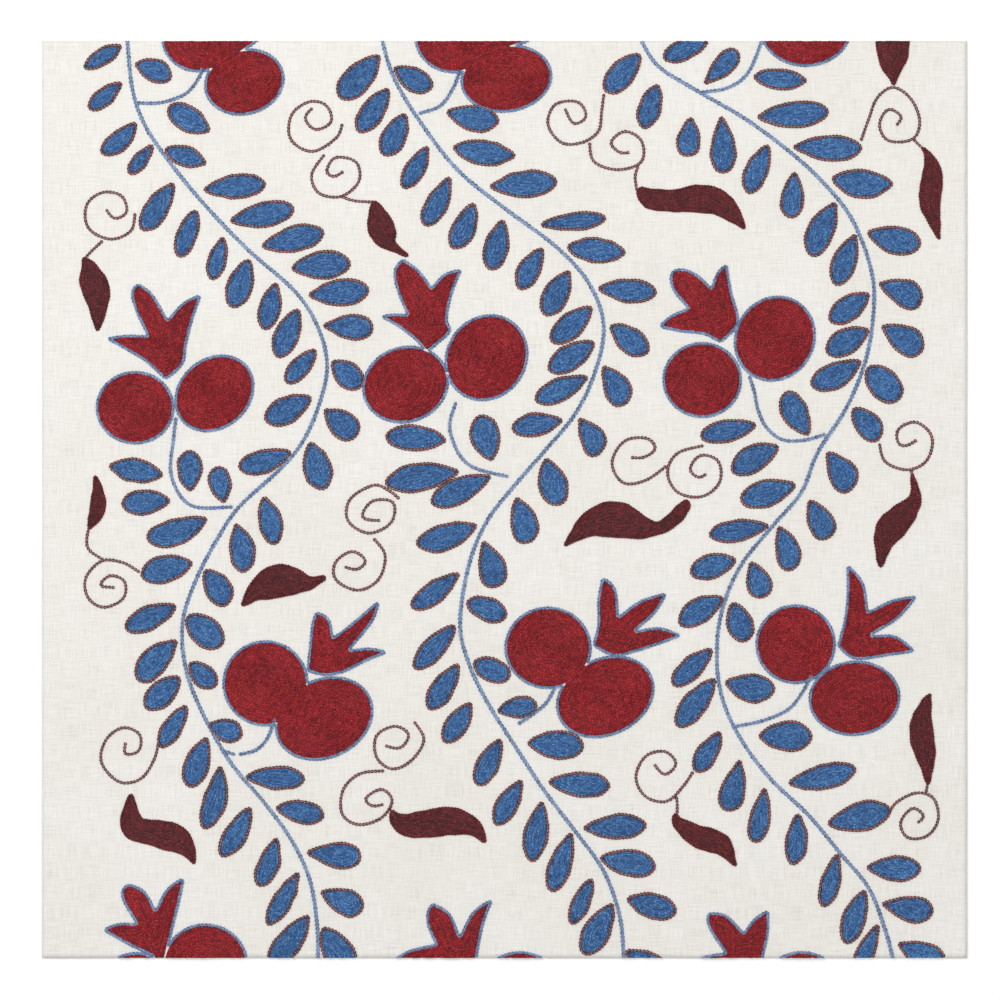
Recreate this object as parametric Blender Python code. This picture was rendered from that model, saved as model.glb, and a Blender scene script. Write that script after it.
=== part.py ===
"""A cut length of suzani embroidery lying flat: one cotton sheet with its silk motifs raised on the face.

The origin is at the middle of the underside. +X runs across the cloth and +Y along it, towards the
end where the vines begin. The tables give the drawing in millimetres from the cloth's near left corner.
"""
import math
from collections import namedtuple

import bmesh
import bpy
from mathutils import Matrix, Vector

NAME = "suzani_textile"
MM = 0.001

CLOTH_WIDTH = 510.0 * MM
CLOTH_LENGTH = 505.6 * MM
CLOTH_THICKNESS = 1.2 * MM
TRIM_MARGIN = 2.0 * MM  # what the sheet is larger on each side before it is cut to size
TRIM_HEIGHT = 20.0 * MM
WELD_DISTANCE = 0.001 * MM
SUNK = 0.5 * MM  # how far a motif's solid reaches down into the cloth before they are joined

# How far each kind of motif stands on the cloth. No two that overlap are level.
VINE_HEIGHT = 0.70 * MM
STEM_HEIGHT = 0.76 * MM
LEAF_HEIGHT = 0.60 * MM
DARK_LEAF_HEIGHT = 0.65 * MM
TENDRIL_HEIGHT = 0.50 * MM
LOBE_HEIGHT = 0.90 * MM
CROWN_HEIGHT = 0.80 * MM
SECOND_LOBE_HEIGHT = 0.93 * MM

VINE_HALF_WIDTH = 1.3
STEM_HALF_WIDTH = 1.2
TENDRIL_HALF_WIDTH = 1.0
VINE_STEPS = 2  # straight pieces between two points of a vine's table
STEM_STEPS = 1
TENDRIL_STEPS = 1
DARK_LEAF_STEPS = 1
LOBE_SIDES = 18
CROWN_STEPS = 1
LEAF_STATIONS = (0.16, 0.45, 0.76, 0.96)  # shares of a leaf's length from its tip, where its outline turns

# A leaf's half width grows as u**rise and falls as (1-u)**fall, with u from 0 at the tip to 1 at the end.
LEAF_KINDS = {
    "leaf": (0.85, 0.60),
    "drop": (1.00, 0.50),
    "almond": (0.80, 0.80),
    "oval": (0.60, 0.50),
}

Leaf = namedtuple("Leaf", "tip_x tip_y end_x end_y width bow kind")
Lobe = namedtuple("Lobe", "x y half_length half_width tilt")
Pomegranate = namedtuple("Pomegranate", "lobes crown")

# Centre lines of the three vines, from the far edge to the near edge: (x, y).
VINES = (
    ((46, 514), (47, 505.6), (49.8, 479), (57, 458.5), (71, 438), (89, 416), (113, 391), (139, 368),
     (151.7, 348.7), (157.2, 327.4), (153, 306), (143.7, 284.7), (130.3, 268.7), (108.5, 248.7), (96, 230),
     (84.5, 207.7), (77.4, 184.6), (79.2, 159.7), (88.1, 135.7), (104, 107.6), (122, 86.3), (137.5, 65),
     (147.7, 42.7), (151.7, 17.8), (152.1, 0), (152, -8)),
    ((187, 514), (187.7, 505.6), (194, 485.3), (207.7, 462.2), (229, 434.6), (255.3, 413.2), (283.8, 391.9),
     (301.6, 371.9), (309.6, 349.6), (306, 326.5), (295, 301.6), (277.6, 280.2), (259.8, 259.8),
     (245.1, 240.6), (235.3, 216.6), (230.4, 184.6), (235.3, 162.4), (246, 140.1), (261.6, 115.6),
     (276.7, 92.5), (293.6, 70.3), (309.6, 48), (318.5, 23.1), (320.7, 0), (320.7, -8)),
    ((326, 514), (330.5, 505.6), (340, 491.5), (362, 477.7), (385.7, 464), (407, 448.8), (428.4, 430),
     (446.2, 408), (457, 380), (458.6, 357.6), (454.2, 330), (443.5, 303.4), (427.5, 278.5),
     (418.6, 256.7), (401.7, 237), (384.8, 215.7), (374.6, 190.8), (372, 165), (375.4, 142), (385.7, 120),
     (401.7, 98.7), (423, 78.3), (440, 57.8), (456, 38.2), (465.3, 14.2), (468.9, 0), (470, -8)),
)

# Stems that carry the pomegranates: (x, y).
STEMS = (
    ((52.5, 471.5), (66, 471.7), (79, 476.5), (86, 484.5), (88.5, 491)),
    ((207.7, 465.7), (219.3, 469.7), (226.4, 479.1), (230, 488.4)),
    ((363.4, 477.3), (378, 479.8), (389.2, 488), (396.8, 505.6), (398, 512)),
    ((73.8, 298), (72.5, 286.5), (71.2, 266), (81.9, 249.5), (105, 248.7)),
    ((228.2, 306.5), (224.8, 291), (234.5, 272.4), (257, 265.4)),
    ((390, 321), (393, 311), (394.5, 303), (399, 293), (408, 285.8), (420, 285.5), (432, 288.8)),
    ((128.3, 132), (124.5, 121.5), (118, 114.7), (108.6, 112.3)),
    ((106.3, 112.2), (99.5, 114.3)),
    ((283, 149.5), (276.7, 139.2), (262.5, 129)),
    ((424.5, 156), (419.5, 147), (412, 137.5), (398, 131), (380.5, 127.3)),
)

# Leaves beside the vines, a vine and a side at a time. bow is how far the spine bends to its left.
LEAVES = tuple(Leaf(*row) for row in (
    # The first vine, left side.
    (44.5, 503.8, 22.3, 490, 10.8, 0, "almond"),
    (45, 483.5, 25.4, 467.7, 11, 0, "leaf"),
    (52.7, 461.7, 32.5, 443, 12.6, 1.4, "leaf"),
    (61.8, 449.3, 47.5, 431.5, 9.5, 0, "leaf"),
    (73, 428.4, 55, 400.5, 14.5, 0, "leaf"),
    (85, 413, 75.2, 385.7, 12.3, 0, "oval"),
    (100.3, 398.6, 93.5, 373.5, 11.4, 0, "leaf"),
    (114.6, 386.5, 104.5, 358, 15.2, 0, "leaf"),
    (129, 373.3, 122.5, 345.8, 13.3, 0, "leaf"),
    (141.7, 359.3, 129.5, 330.5, 14.5, 0, "leaf"),
    (151.7, 336.7, 134.3, 316.5, 12, 0, "leaf"),
    (149.5, 309.5, 122.5, 296, 16, 0, "leaf"),
    (138.8, 279.5, 107.8, 270, 14.2, 0.8, "leaf"),
    (81.4, 256.4, 81.4, 280.7, 15, 0, "leaf"),
    (100.3, 250.4, 96.3, 271.5, 13.8, 0, "leaf"),
    (67.5, 266, 36, 271.5, 14.2, 0, "almond"),
    (71.6, 252.7, 43.3, 250, 15, 0, "leaf"),
    (92.1, 242.9, 56.9, 230.7, 16, 1.7, "leaf"),
    (84.3, 218.4, 53.8, 211, 16.4, 0, "leaf"),
    (75.2, 194.8, 45.4, 181.3, 14.5, 0, "leaf"),
    (74.9, 175.7, 52.3, 152.3, 16.5, -1, "leaf"),
    (77, 155.8, 56.5, 137.5, 15.4, 0, "leaf"),
    (80.7, 140.8, 64.5, 115.5, 12, 0, "leaf"),
    (91, 122.5, 81, 93.5, 15.2, -0.3, "leaf"),
    (98.5, 107, 89, 70.5, 14, 2.1, "leaf"),
    (115.5, 84.3, 98.5, 55.5, 13.8, 0.8, "leaf"),
    (129.5, 67.5, 119, 39, 13, 1.3, "leaf"),
    (142, 48.5, 124, 17.5, 12, 0.4, "leaf"),
    (148, 25, 125, -4, 15.2, 1, "leaf"),
    # The first vine, right side.
    (50, 493.3, 71.8, 484.5, 13.8, 1.1, "leaf"),
    (93.4, 455, 69, 469.5, 15.5, 0, "leaf"),
    (91.2, 438, 66.8, 446, 12.5, 0, "almond"),
    (87.6, 423.5, 124, 427, 14.5, 0, "leaf"),
    (102.3, 406, 139.7, 413.3, 15, 0, "leaf"),
    (120.1, 391.9, 155.7, 400.5, 15.5, 0, "leaf"),
    (136.1, 380.1, 170.6, 383.7, 16.5, 0, "leaf"),
    (146.1, 365.4, 180.7, 368.3, 16, 0, "leaf"),
    (153.6, 348.8, 182.8, 347.3, 15.3, 0, "drop"),
    (159, 329.8, 176.5, 314.5, 15.5, 0, "leaf"),
    (154.5, 303.6, 173.7, 287.5, 16.5, 0, "drop"),
    (147.5, 285.6, 155.2, 257.8, 16.8, 0, "leaf"),
    (121.9, 255.5, 128.3, 227.5, 14.2, 0.6, "leaf"),
    (106.6, 240.4, 111, 212, 15.3, 1.5, "leaf"),
    (89.4, 215, 102.5, 194, 15.8, 0.6, "leaf"),
    (79.5, 188.5, 99.5, 172, 17.5, 0, "oval"),
    (80.1, 163.7, 95.7, 149, 13.5, 0, "leaf"),
    (91, 129, 111, 122.5, 13.8, 0, "leaf"),
    (110.8, 100, 145.6, 98.7, 14, 0, "leaf"),
    (127.5, 83, 156.3, 78.3, 14, 0, "leaf"),
    (144.4, 58.3, 176.3, 55.8, 15.7, -0.3, "drop"),
    (152, 37.3, 177, 26.5, 15.8, 0, "drop"),
    (154, 18, 171, -9, 18, 0, "leaf"),
    # The second vine, left side.
    (187, 498.5, 163.5, 473.5, 17, 0, "leaf"),
    (191.8, 480.6, 174.2, 455, 14.3, 0, "leaf"),
    (201, 466.6, 188.3, 441.7, 14.7, 0, "leaf"),
    (213.5, 448.8, 198.8, 423.9, 12, 0.4, "leaf"),
    (225.1, 431.5, 210.2, 403, 13.5, 0.8, "leaf"),
    (238.6, 417.3, 226, 390.5, 14.2, 1, "leaf"),
    (254, 407.9, 247, 378.6, 14.6, 0.3, "leaf"),
    (276.5, 392.3, 262.7, 368.3, 13.5, -0.4, "leaf"),
    (291, 380, 277, 353.8, 15.3, 0, "leaf"),
    (304.4, 360, 280.5, 339, 15, 0, "leaf"),
    (306, 340.3, 278.8, 323.5, 15.2, 0, "leaf"),
    (302, 320.8, 271.3, 307, 14, 0, "leaf"),
    (287.8, 296.7, 258.7, 291.8, 14, 0, "leaf"),
    (248.2, 273.1, 242, 300, 17.6, 0.6, "leaf"),
    (224.6, 285.6, 189, 287.6, 15.5, 0, "leaf"),
    (231, 268.3, 188.8, 261.5, 16.8, -0.5, "leaf"),
    (248.2, 266.2, 214, 250.3, 15.5, 0, "leaf"),
    (241.1, 239.5, 206.1, 227.5, 15.6, 1, "leaf"),
    (230.9, 213, 203, 192.3, 13.2, 0.5, "leaf"),
    (228.9, 184.8, 205, 159, 13.5, 0, "leaf"),
    (230.2, 163.3, 213, 136.5, 13.8, 0, "leaf"),
    (237.3, 141.5, 221.8, 118.3, 13.8, 0, "leaf"),
    (253.2, 121.8, 239.8, 94.5, 13.5, 0, "leaf"),
    (264.7, 98.8, 249.8, 73, 13.5, 0, "leaf"),
    (275.8, 87, 269.5, 52.7, 14.3, 0, "leaf"),
    (292, 69.8, 280.5, 35.8, 13.8, 0, "leaf"),
    (304, 45.5, 291.5, 18, 11.3, 0, "leaf"),
    (315, 31, 298.5, 1.3, 16, 0, "leaf"),
    # The second vine, right side.
    (193.3, 491.2, 215.6, 479.3, 14.4, -0.5, "leaf"),
    (222, 466.6, 252.3, 461.3, 15.4, -0.8, "leaf"),
    (225.5, 447.2, 261.8, 442.2, 14.8, -0.8, "almond"),
    (246, 425.3, 284.5, 428, 16, 0, "leaf"),
    (272.7, 403.9, 311.8, 408, 11, 0, "leaf"),
    (288.3, 392, 323, 388.8, 14.8, -0.2, "almond"),
    (305.3, 369.2, 339.3, 366.8, 14.3, 0, "leaf"),
    (312.7, 349.5, 334.2, 333, 15.5, 0, "leaf"),
    (308.3, 327.8, 320.8, 304.3, 16, 1.5, "drop"),
    (295, 298.9, 306.8, 277, 15.2, 1.8, "drop"),
    (277.5, 276.2, 285, 248.8, 17.3, 0, "leaf"),
    (260.7, 256, 267.5, 228.2, 16.6, 1.3, "drop"),
    (242.5, 231, 250.3, 203.7, 16.4, 1.2, "drop"),
    (233.8, 196.8, 256.5, 188, 14.5, 0, "oval"),
    (237, 162.8, 258.6, 155, 14.3, 0, "oval"),
    (250, 136.1, 273.8, 140, 13, 0, "leaf"),
    (266.4, 118.6, 299.3, 116.6, 17, 0, "leaf"),
    (278, 97.3, 313.9, 95, 15.2, -0.5, "leaf"),
    (297.6, 71.3, 333.5, 73.3, 15, 0, "leaf"),
    (306.5, 55.5, 339, 49.7, 16.3, 0, "leaf"),
    (321.2, 32.8, 350.3, 25, 15.5, 0, "leaf"),
    (321, 4.5, 346, -11, 15, 0, "leaf"),
    # The third vine, left side.
    (330.5, 499.5, 310.3, 477, 15.6, 0, "leaf"),
    (340, 483.3, 331, 456.8, 13.8, 0, "leaf"),
    (358.1, 465.3, 355.4, 441.3, 14.2, 0, "drop"),
    (374.4, 466, 375.4, 432.4, 15.2, 0.6, "drop"),
    (401, 449.7, 388.8, 420.8, 13.8, -0.5, "leaf"),
    (415.2, 435.5, 412.5, 407.5, 13.9, 0, "drop"),
    (438, 417.5, 423.5, 386.3, 16, -0.9, "leaf"),
    (448.8, 399.7, 437.5, 370.3, 14.6, -0.3, "leaf"),
    (457.2, 367, 434, 350.8, 14.6, 0, "leaf"),
    (456.8, 347.3, 432, 333.5, 15.5, 0, "leaf"),
    (452.3, 329.6, 423.3, 316, 15.6, 1.5, "leaf"),
    (423.2, 287.4, 409.8, 312.8, 15.8, 1, "leaf"),
    (395.5, 294.4, 362.5, 287.3, 13.5, 0, "leaf"),
    (407.3, 282.8, 380, 267.8, 16, -0.8, "leaf"),
    (416.6, 261.3, 384.7, 251.8, 16, 0, "leaf"),
    (401.7, 238.6, 367.3, 233, 13.3, 0, "leaf"),
    (383.9, 220.5, 357, 212, 15, 0, "leaf"),
    (376.8, 199.3, 351, 184, 15, -0.7, "leaf"),
    (370.5, 171.5, 347.3, 150, 13.2, 0, "leaf"),
    (371.9, 155, 350, 127, 14.8, -0.3, "leaf"),
    (374.5, 125.5, 360, 101.8, 13, 0, "leaf"),
    (385, 110.5, 377.3, 80.3, 15, 0.7, "drop"),
    (398.7, 96.5, 392.8, 63, 12.8, 0.6, "drop"),
    (416.8, 80.8, 414, 50.5, 13.2, 0.8, "leaf"),
    (439, 58.5, 430.7, 27.3, 11.8, 0.3, "leaf"),
    (454, 38.8, 443, 7.3, 14, -0.3, "leaf"),
    (461.5, 20, 447, -13, 11.5, 0, "leaf"),
    # The third vine, right side.
    (368.5, 505.5, 342, 495.5, 12.8, -0.8, "leaf"),
    (363.9, 480.7, 383.8, 501, 12.5, -0.4, "drop"),
    (391, 486.2, 423, 483.8, 12.6, -0.6, "almond"),
    (392.8, 463.5, 434.5, 467, 15.6, -0.4, "leaf"),
    (413.4, 447.3, 452.7, 446.6, 15.2, -0.5, "leaf"),
    (434.8, 430, 470, 426.6, 16.8, -1.6, "almond"),
    (454.3, 400.3, 485.3, 393.3, 16.6, -0.9, "leaf"),
    (460.1, 372.3, 485.5, 361, 16.3, 1.3, "drop"),
    (461.7, 349.4, 485.5, 334.5, 17, 0.4, "drop"),
    (454.6, 326, 473, 307.5, 18, 0, "oval"),
    (446.2, 304, 461.5, 284.8, 15.5, 1, "leaf"),
    (431.9, 280, 445, 256.8, 17, 2, "drop"),
    (422, 254.4, 433.3, 230.4, 15.8, 0.8, "drop"),
    (405.5, 239.8, 413, 213.2, 14.9, 1.5, "drop"),
    (390, 219.9, 397.5, 198.2, 15, 0.8, "drop"),
    (380.3, 197, 388.3, 174, 15.8, 0, "leaf"),
    (375.7, 152, 404.5, 148, 16.8, -1.2, "leaf"),
    (393.9, 122.3, 425.2, 122.3, 17.8, 0, "leaf"),
    (410, 96, 449.3, 104.5, 15, -0.8, "leaf"),
    (432, 73.3, 468.3, 82, 17, 0, "leaf"),
    (454, 49.7, 485.3, 49, 15, 0, "leaf"),
    (461.7, 30.3, 491.8, 25.5, 15.6, -0.7, "drop"),
    (470.5, 8.8, 498, -5, 17, 0, "drop"),
))

# The pomegranates: one or two lobes as (x, y, half length, half width, tilt), and the crown as its sides
# in turn, each from a corner to the last point before the next. Those past an edge are cut off there.
POMEGRANATES = tuple(Pomegranate(tuple(Lobe(*row) for row in lobes), crown) for lobes, crown in (
    (((86.5, 507, 21, 19, 0), (111.5, 483, 22.7, 18.5, 15)),
     (((92, 488), (96, 512)), ((124, 510), (113.5, 501)))),
    (((227, 508, 22, 20.5, 0), (256, 485, 25.7, 19, 8)),
     (((236, 490), (245, 514)), ((276, 510), (267, 504.4), (256.5, 500.6)))),
    (((421, 513.5, 26, 22.4, 0),), ()),
    (((51.3, 303.4, 22, 20.5, 0), (95, 311.3, 24, 19.8, 40)),
     (((68, 318), (57.5, 328), (46, 335)), ((33.8, 341.8), (45, 343.8)),
      ((57.5, 343.5), (51.5, 356), (48.8, 366.8)), ((52.5, 372.7), (61, 366.5)), ((69.2, 352.7), (78, 362)),
      ((88.8, 366.8), (83.5, 352), (80, 338), (78, 327)))),
    (((200.4, 316.2, 24.6, 21.3, 20), (245, 331, 25, 22.5, 55)),
     (((212, 333), (206, 340), (196, 347.8)), ((184.3, 354), (193, 355.5)),
      ((200.7, 355.2), (195, 369), (193.7, 379.3)), ((198.5, 386.3), (208, 379.5)),
      ((214.8, 370.2), (221.5, 377.5)), ((232.3, 380.7), (226.5, 366), (223.8, 352), (225.5, 345)))),
    (((364, 318.7, 22.2, 21.2, 0), (404, 341.5, 24.5, 22.3, 60)),
     (((374, 338.5), (365, 343.3), (352, 344.8)), ((338.8, 347.7), (346, 354.3)),
      ((355.5, 358.5), (347.8, 367.5), (345.8, 376)), ((348.5, 380.3), (355.5, 380), (363, 376)),
      ((368.8, 370.2), (372, 378.5)), ((378, 383.7), (380.5, 368), (384.5, 350)))),
    (((123.2, 151.4, 24, 24, 0), (155.5, 132, 28.5, 22.3, 25)),
     (((145.5, 158), (147, 172), (148.3, 184)), ((150.8, 191.6), (158.5, 187.5)),
      ((160.8, 177.5), (172, 186)), ((187, 199.3), (183, 186)), ((170.5, 170.3), (181, 171.3)),
      ((192.5, 168.8), (178, 162.8), (166, 157), (155, 155.3)))),
    (((279, 171, 24.3, 23, 0), (310.5, 144, 28.5, 21.7, 25)),
     (((303, 172), (306, 184), (306, 198)), ((308.7, 211), (316.5, 204)), ((318.2, 189), (330, 197.5)),
      ((345.8, 202.3), (338.5, 190)), ((328.2, 180.8), (341, 182.5)),
      ((354.3, 177.7), (340, 172.5), (326, 168), (315, 166)))),
    (((415.5, 173, 22.4, 22.2, 0), (448, 143.2, 25.6, 21, 5)),
     (((438, 172), (442, 187), (443.5, 203)), ((443, 218.5), (453, 207.5)), ((455.8, 191.5), (469, 197.8)),
      ((484, 200.5), (472.5, 187)), ((458.3, 178.2), (471, 177.8)),
      ((483, 168.7), (468, 166.5), (448, 164.3)))),
    (((52, -18, 21.5, 21.5, 0), (90, -4, 24, 23.3, 0)),
     (((60, 1), (49, 6), (40, 11)), ((32.2, 15.3), (41, 19.3)), ((51.3, 19.3), (44.5, 30.5), (43.5, 37.5)),
      ((47.5, 41.7), (57, 37)), ((62.5, 27.3), (69, 39)), ((79.3, 45.5), (76, 30), (72, 14), (66, -8)))),
    (((263.5, -20, 24, 24, 0),),
     (((192, -2), (202, 4.5)), ((216.5, 7.8), (212, 18), (212, 26)), ((215, 30.8), (225, 25)),
      ((230.3, 12.8), (237.5, 26)), ((250, 34.3), (244, 19), (240.3, 0), (240, -8)))),
    (((419, -20, 24, 24, 0),),
     (((350, -5), (366, 1.5)), ((376, 3), (368.5, 14), (366, 21)), ((367.3, 25.5), (377.5, 24)),
      ((386.8, 14.5), (392.5, 22)), ((401, 27.5), (401, 14), (398, 0), (397, -8)))),
))

# The dark leaves between the vines, each along its spine: (x, y, half width).
DARK_LEAVES = (
    ((22.8, 386.5, 0.9), (25.5, 381, 4.8), (28, 373, 7.8), (30.5, 364.5, 7.3), (30.8, 350, 2.7),
     (30, 345, 0.7)),
    ((183, 418, 1), (184.5, 411.5, 5), (186.5, 404, 7.6), (189.5, 397, 6.8), (193.5, 392.3, 3.2),
     (202.4, 386.6, 1)),
    ((328.5, 424.5, 2), (335, 419, 6), (348, 417.5, 6.3), (362, 418.7, 8), (373, 416.5, 7.4), (381, 410, 5),
     (388, 401.5, 0.8)),
    ((469, 512, 10.2), (469, 497, 8.7), (469, 490, 5.8), (469.5, 484, 2.2), (469.7, 480.5, 0.8)),
    ((485, 447.5, 0.9), (488.5, 442.5, 2.6), (491, 434, 5.4), (490, 424, 6.4), (490, 414, 5.7),
     (494.8, 395.5, 0.8)),
    ((29, 266.5, 0.7), (30.5, 259.5, 3), (31, 252, 4.5), (29.8, 245, 4.4), (25.5, 236, 1)),
    ((287.5, 227, 0.8), (300, 238, 6.5), (310, 241.5, 9.8), (320, 241, 10), (330, 237.5, 7), (340, 237, 3.9),
     (348, 242, 4.2), (353.5, 248, 3.8), (356, 253, 1.8)),
    ((479.3, 268, 0.9), (481.5, 254, 3.7), (475.5, 245, 7), (468, 237, 8.3), (464, 228.5, 5.6),
     (462, 213.8, 0.7)),
    ((109.5, 193.5, 0.8), (115, 199.5, 4.2), (122, 204.5, 7.8), (131, 208, 9.6), (140, 207.5, 7.5),
     (148, 207, 4), (156.5, 210, 1.5)),
    ((490.3, 146.5, 0.8), (487.5, 140.5, 3.4), (485, 131, 6), (485.3, 121, 6.9), (487.3, 111, 5.6),
     (488.6, 95, 1)),
    ((49, 91, 1.2), (48.7, 79.5, 5.3), (50.5, 72.5, 7.2), (57, 69.8, 7), (66, 68, 8), (74, 65.5, 8),
     (80, 60, 5), (84.3, 51.2, 0.8)),
    ((192.5, 81.8, 1), (195.5, 76.5, 4.5), (202, 73.3, 6.8), (213, 74, 8), (224, 75.4, 8.2), (233, 74, 6.7),
     (240, 70, 4.2), (244.5, 63, 0.8)),
    ((349.5, 80, 1.2), (350.5, 75, 3.6), (360, 67.8, 6.2), (368, 65, 6.7), (375.5, 61.5, 5.8),
     (382.8, 50.2, 0.8)),
)

# The curling tendrils, from their outer ends inwards, each with the short stretch that joins it to a leaf,
# where it has one: (x, y).
TENDRILS = (
    ((51.2, 410.6), (48.9, 400.8), (37.4, 396.3), (25.4, 402.6), (24.5, 415), (32.9, 422), (43.6, 420.4),
     (46.7, 411.5), (40, 407.7), (35.3, 412.8)),
    ((33.4, 395.5), (26.7, 389.2), (23.3, 385.2)),
    ((165.5, 460), (162.4, 452.4), (149, 444.6), (137, 451.5), (137.5, 464.8), (147.2, 472.1),
     (156.6, 470.2), (159.5, 461.3), (150.8, 456.7), (145, 463.1), (149, 468.7)),
    ((155.7, 443), (148.6, 431.9), (152.6, 421.7), (165, 419.9), (174.8, 428.4), (173, 439),
     (161.5, 441.3), (156.9, 433.7), (161, 430.8), (166.1, 433.7)),
    ((165, 419.9), (172, 417.5), (183, 416.8)),
    ((309.8, 476.4), (308.5, 466.6), (306.9, 456), (298, 449.7), (286.5, 449.5), (278.9, 459.5),
     (282.9, 470.6), (295.4, 472), (300, 464), (293.1, 460), (288.3, 468.4)),
    ((301.9, 449.7), (304.3, 439), (317.6, 434.6), (330.5, 439), (330.5, 450.6), (321.2, 455.8),
     (313.6, 449.7), (318.5, 444.2), (323.8, 444.2)),
    ((328.7, 436.8), (327, 431), (328, 423)),
    ((451.5, 450.6), (456, 463.1), (460.4, 474.2), (469.3, 480.1), (479.1, 473.7), (484, 461.3),
     (480, 451.5), (466.6, 450.6), (461.7, 459.5), (466.6, 468), (473.8, 464), (471.1, 459.1)),
    ((480.5, 451.3), (486, 446)),
    ((197.1, 253.1), (190.8, 258), (182.8, 260.7), (169.9, 253.1), (168.6, 241.1), (180.2, 234.2),
     (192.6, 240.2), (193.5, 251.3), (181.9, 251.8), (176.6, 242.9), (186.4, 241.1)),
    ((182.8, 231.3), (189.2, 222), (185.5, 208.6), (173.9, 202.7), (161.9, 208.6), (161.9, 218.4),
     (171.3, 224.2), (178.4, 218.9), (173.5, 214.2), (166.8, 215.7)),
    ((344.3, 271.3), (332.7, 263.3), (320.3, 262), (314.2, 273.1), (321.2, 285.1), (333.6, 286.5),
     (338.1, 280.7), (331.5, 276), (324.7, 276)),
    ((364.8, 282.5), (350.3, 278.3), (344.8, 267.8), (350.5, 256.7), (363.9, 254.4), (373.7, 262.4),
     (372.8, 274), (363, 277.1), (357.2, 269.6), (362, 264.9), (366.1, 266.9)),
    ((461.7, 283.8), (464.9, 273.6), (477.3, 269.1), (488, 274.5), (490.7, 287.4), (481.8, 295.4),
     (472, 291.4), (472.4, 283.4), (477.3, 282.7), (482.2, 285.6)),
    ((479.1, 269), (481.5, 262)),
    ((53.8, 212.6), (44.5, 218), (32.9, 218.9), (24, 209.5), (25.4, 198.4), (34.3, 193.3), (44.9, 198.4),
     (45.4, 207.7), (37.4, 210.8), (32, 205.5), (40, 204.2)),
    ((26, 238), (24.5, 230), (26.2, 224.6), (33.8, 219.5)),
    ((64.1, 117.9), (61.4, 108.5), (54.3, 98.7), (42.7, 97), (32.7, 107.6), (35.1, 120.1), (44.5, 127),
     (53.8, 123.2), (53.4, 114.3), (45.8, 112.4), (46.1, 118.8)),
    ((205.1, 130.3), (210.6, 120.5), (204.2, 109.4), (193.5, 104.1), (184.6, 110.3), (184.2, 122.3),
     (194.4, 127.8), (202.2, 123.2), (197.5, 115.8), (189.2, 117)),
    ((188.6, 103.2), (174.8, 101.4), (165.9, 92.5), (165.5, 79.2), (174.8, 73.4), (187.3, 77.4),
     (193.1, 86.7), (187.3, 93), (178.4, 88.1), (182, 83.8), (188.2, 84.7)),
    ((191.3, 82.7), (195, 77)),
    ((359, 102.7), (353.2, 94.3), (344.3, 86.3), (332.7, 89), (327.4, 99.6), (332.7, 111.2),
     (343.4, 113.9), (349.6, 107.2), (343.4, 101), (337.5, 106.8)),
    ((349.6, 89), (350.3, 84.5), (350, 78)),
    ((467.5, 80.5), (471.1, 85.8), (481.8, 91), (491.5, 88.1), (494.2, 76.5), (488, 67.2), (477.3, 66.3),
     (473.3, 74.7), (480, 82.6), (486.2, 78.3), (482.7, 74.5)),
    ((487.3, 91.2), (488.5, 97)),
)


def at(x, y):
    """A place of the drawing, in the part's own frame."""
    return Vector((x * MM - CLOTH_WIDTH / 2, y * MM - CLOTH_LENGTH / 2))


def through(rows, steps):
    """Points on a smooth curve through the rows, whose later columns, such as a half width, follow along."""
    rows = [Vector(row) for row in rows]
    points = []
    for k in range(len(rows) - 1):
        before = rows[max(k - 1, 0)]
        start, end = rows[k], rows[k + 1]
        after = rows[min(k + 2, len(rows) - 1)]
        for step in range(steps):
            t = step / steps
            points.append(0.5 * (2 * start + (end - before) * t
                                 + (2 * before - 5 * start + 4 * end - after) * t ** 2
                                 + (3 * start - before - 3 * end + after) * t ** 3))
    return points + [rows[-1]]


def ribbon(rows, steps):
    """The outline of a strip along (x, y, half width) rows."""
    spine = through(rows, steps)
    left, right = [], []
    for k, point in enumerate(spine):
        ahead = spine[min(k + 1, len(spine) - 1)] - spine[max(k - 1, 0)]
        across = Vector((-ahead.y, ahead.x)).normalized() * point.z
        left.append((point.x + across.x, point.y + across.y))
        right.append((point.x - across.x, point.y - across.y))
    return left + right[::-1]


def leaf_outline(leaf):
    """A leaf's edge, up one side from its tip and back along the other."""
    rise, fall = LEAF_KINDS[leaf.kind]
    widest = rise / (rise + fall)
    greatest = widest ** rise * (1 - widest) ** fall
    tip, end = Vector((leaf.tip_x, leaf.tip_y)), Vector((leaf.end_x, leaf.end_y))
    along = end - tip
    across = Vector((-along.y, along.x)).normalized()
    left, right = [], []
    for u in LEAF_STATIONS:
        half = leaf.width / 2 * u ** rise * (1 - u) ** fall / greatest
        spine = tip + along * u + across * leaf.bow * 4 * u * (1 - u)
        left.append(tuple(spine + across * half))
        right.append(tuple(spine - across * half))
    return [tuple(tip)] + left + [tuple(end)] + right[::-1]


def lobe_outline(lobe):
    """A tilted ellipse."""
    tilt = math.radians(lobe.tilt)
    points = []
    for k in range(LOBE_SIDES):
        turn = 2 * math.pi * k / LOBE_SIDES
        along, across = lobe.half_length * math.cos(turn), lobe.half_width * math.sin(turn)
        points.append((lobe.x + along * math.cos(tilt) - across * math.sin(tilt),
                       lobe.y + along * math.sin(tilt) + across * math.cos(tilt)))
    return points


def crown_outline(sides):
    """A crown's edge: each side is a smooth curve that ends in the next side's corner."""
    points = []
    for k, side in enumerate(sides):
        corner = sides[(k + 1) % len(sides)][0]
        points += [tuple(point) for point in through(side + (corner,), CROWN_STEPS)[:-1]]
    return points


def is_on_cloth(outline):
    """Whether any of the outline lies on the cloth."""
    return (min(x for x, _ in outline) * MM < CLOTH_WIDTH and max(x for x, _ in outline) > 0
            and min(y for _, y in outline) * MM < CLOTH_LENGTH and max(y for _, y in outline) > 0)


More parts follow.
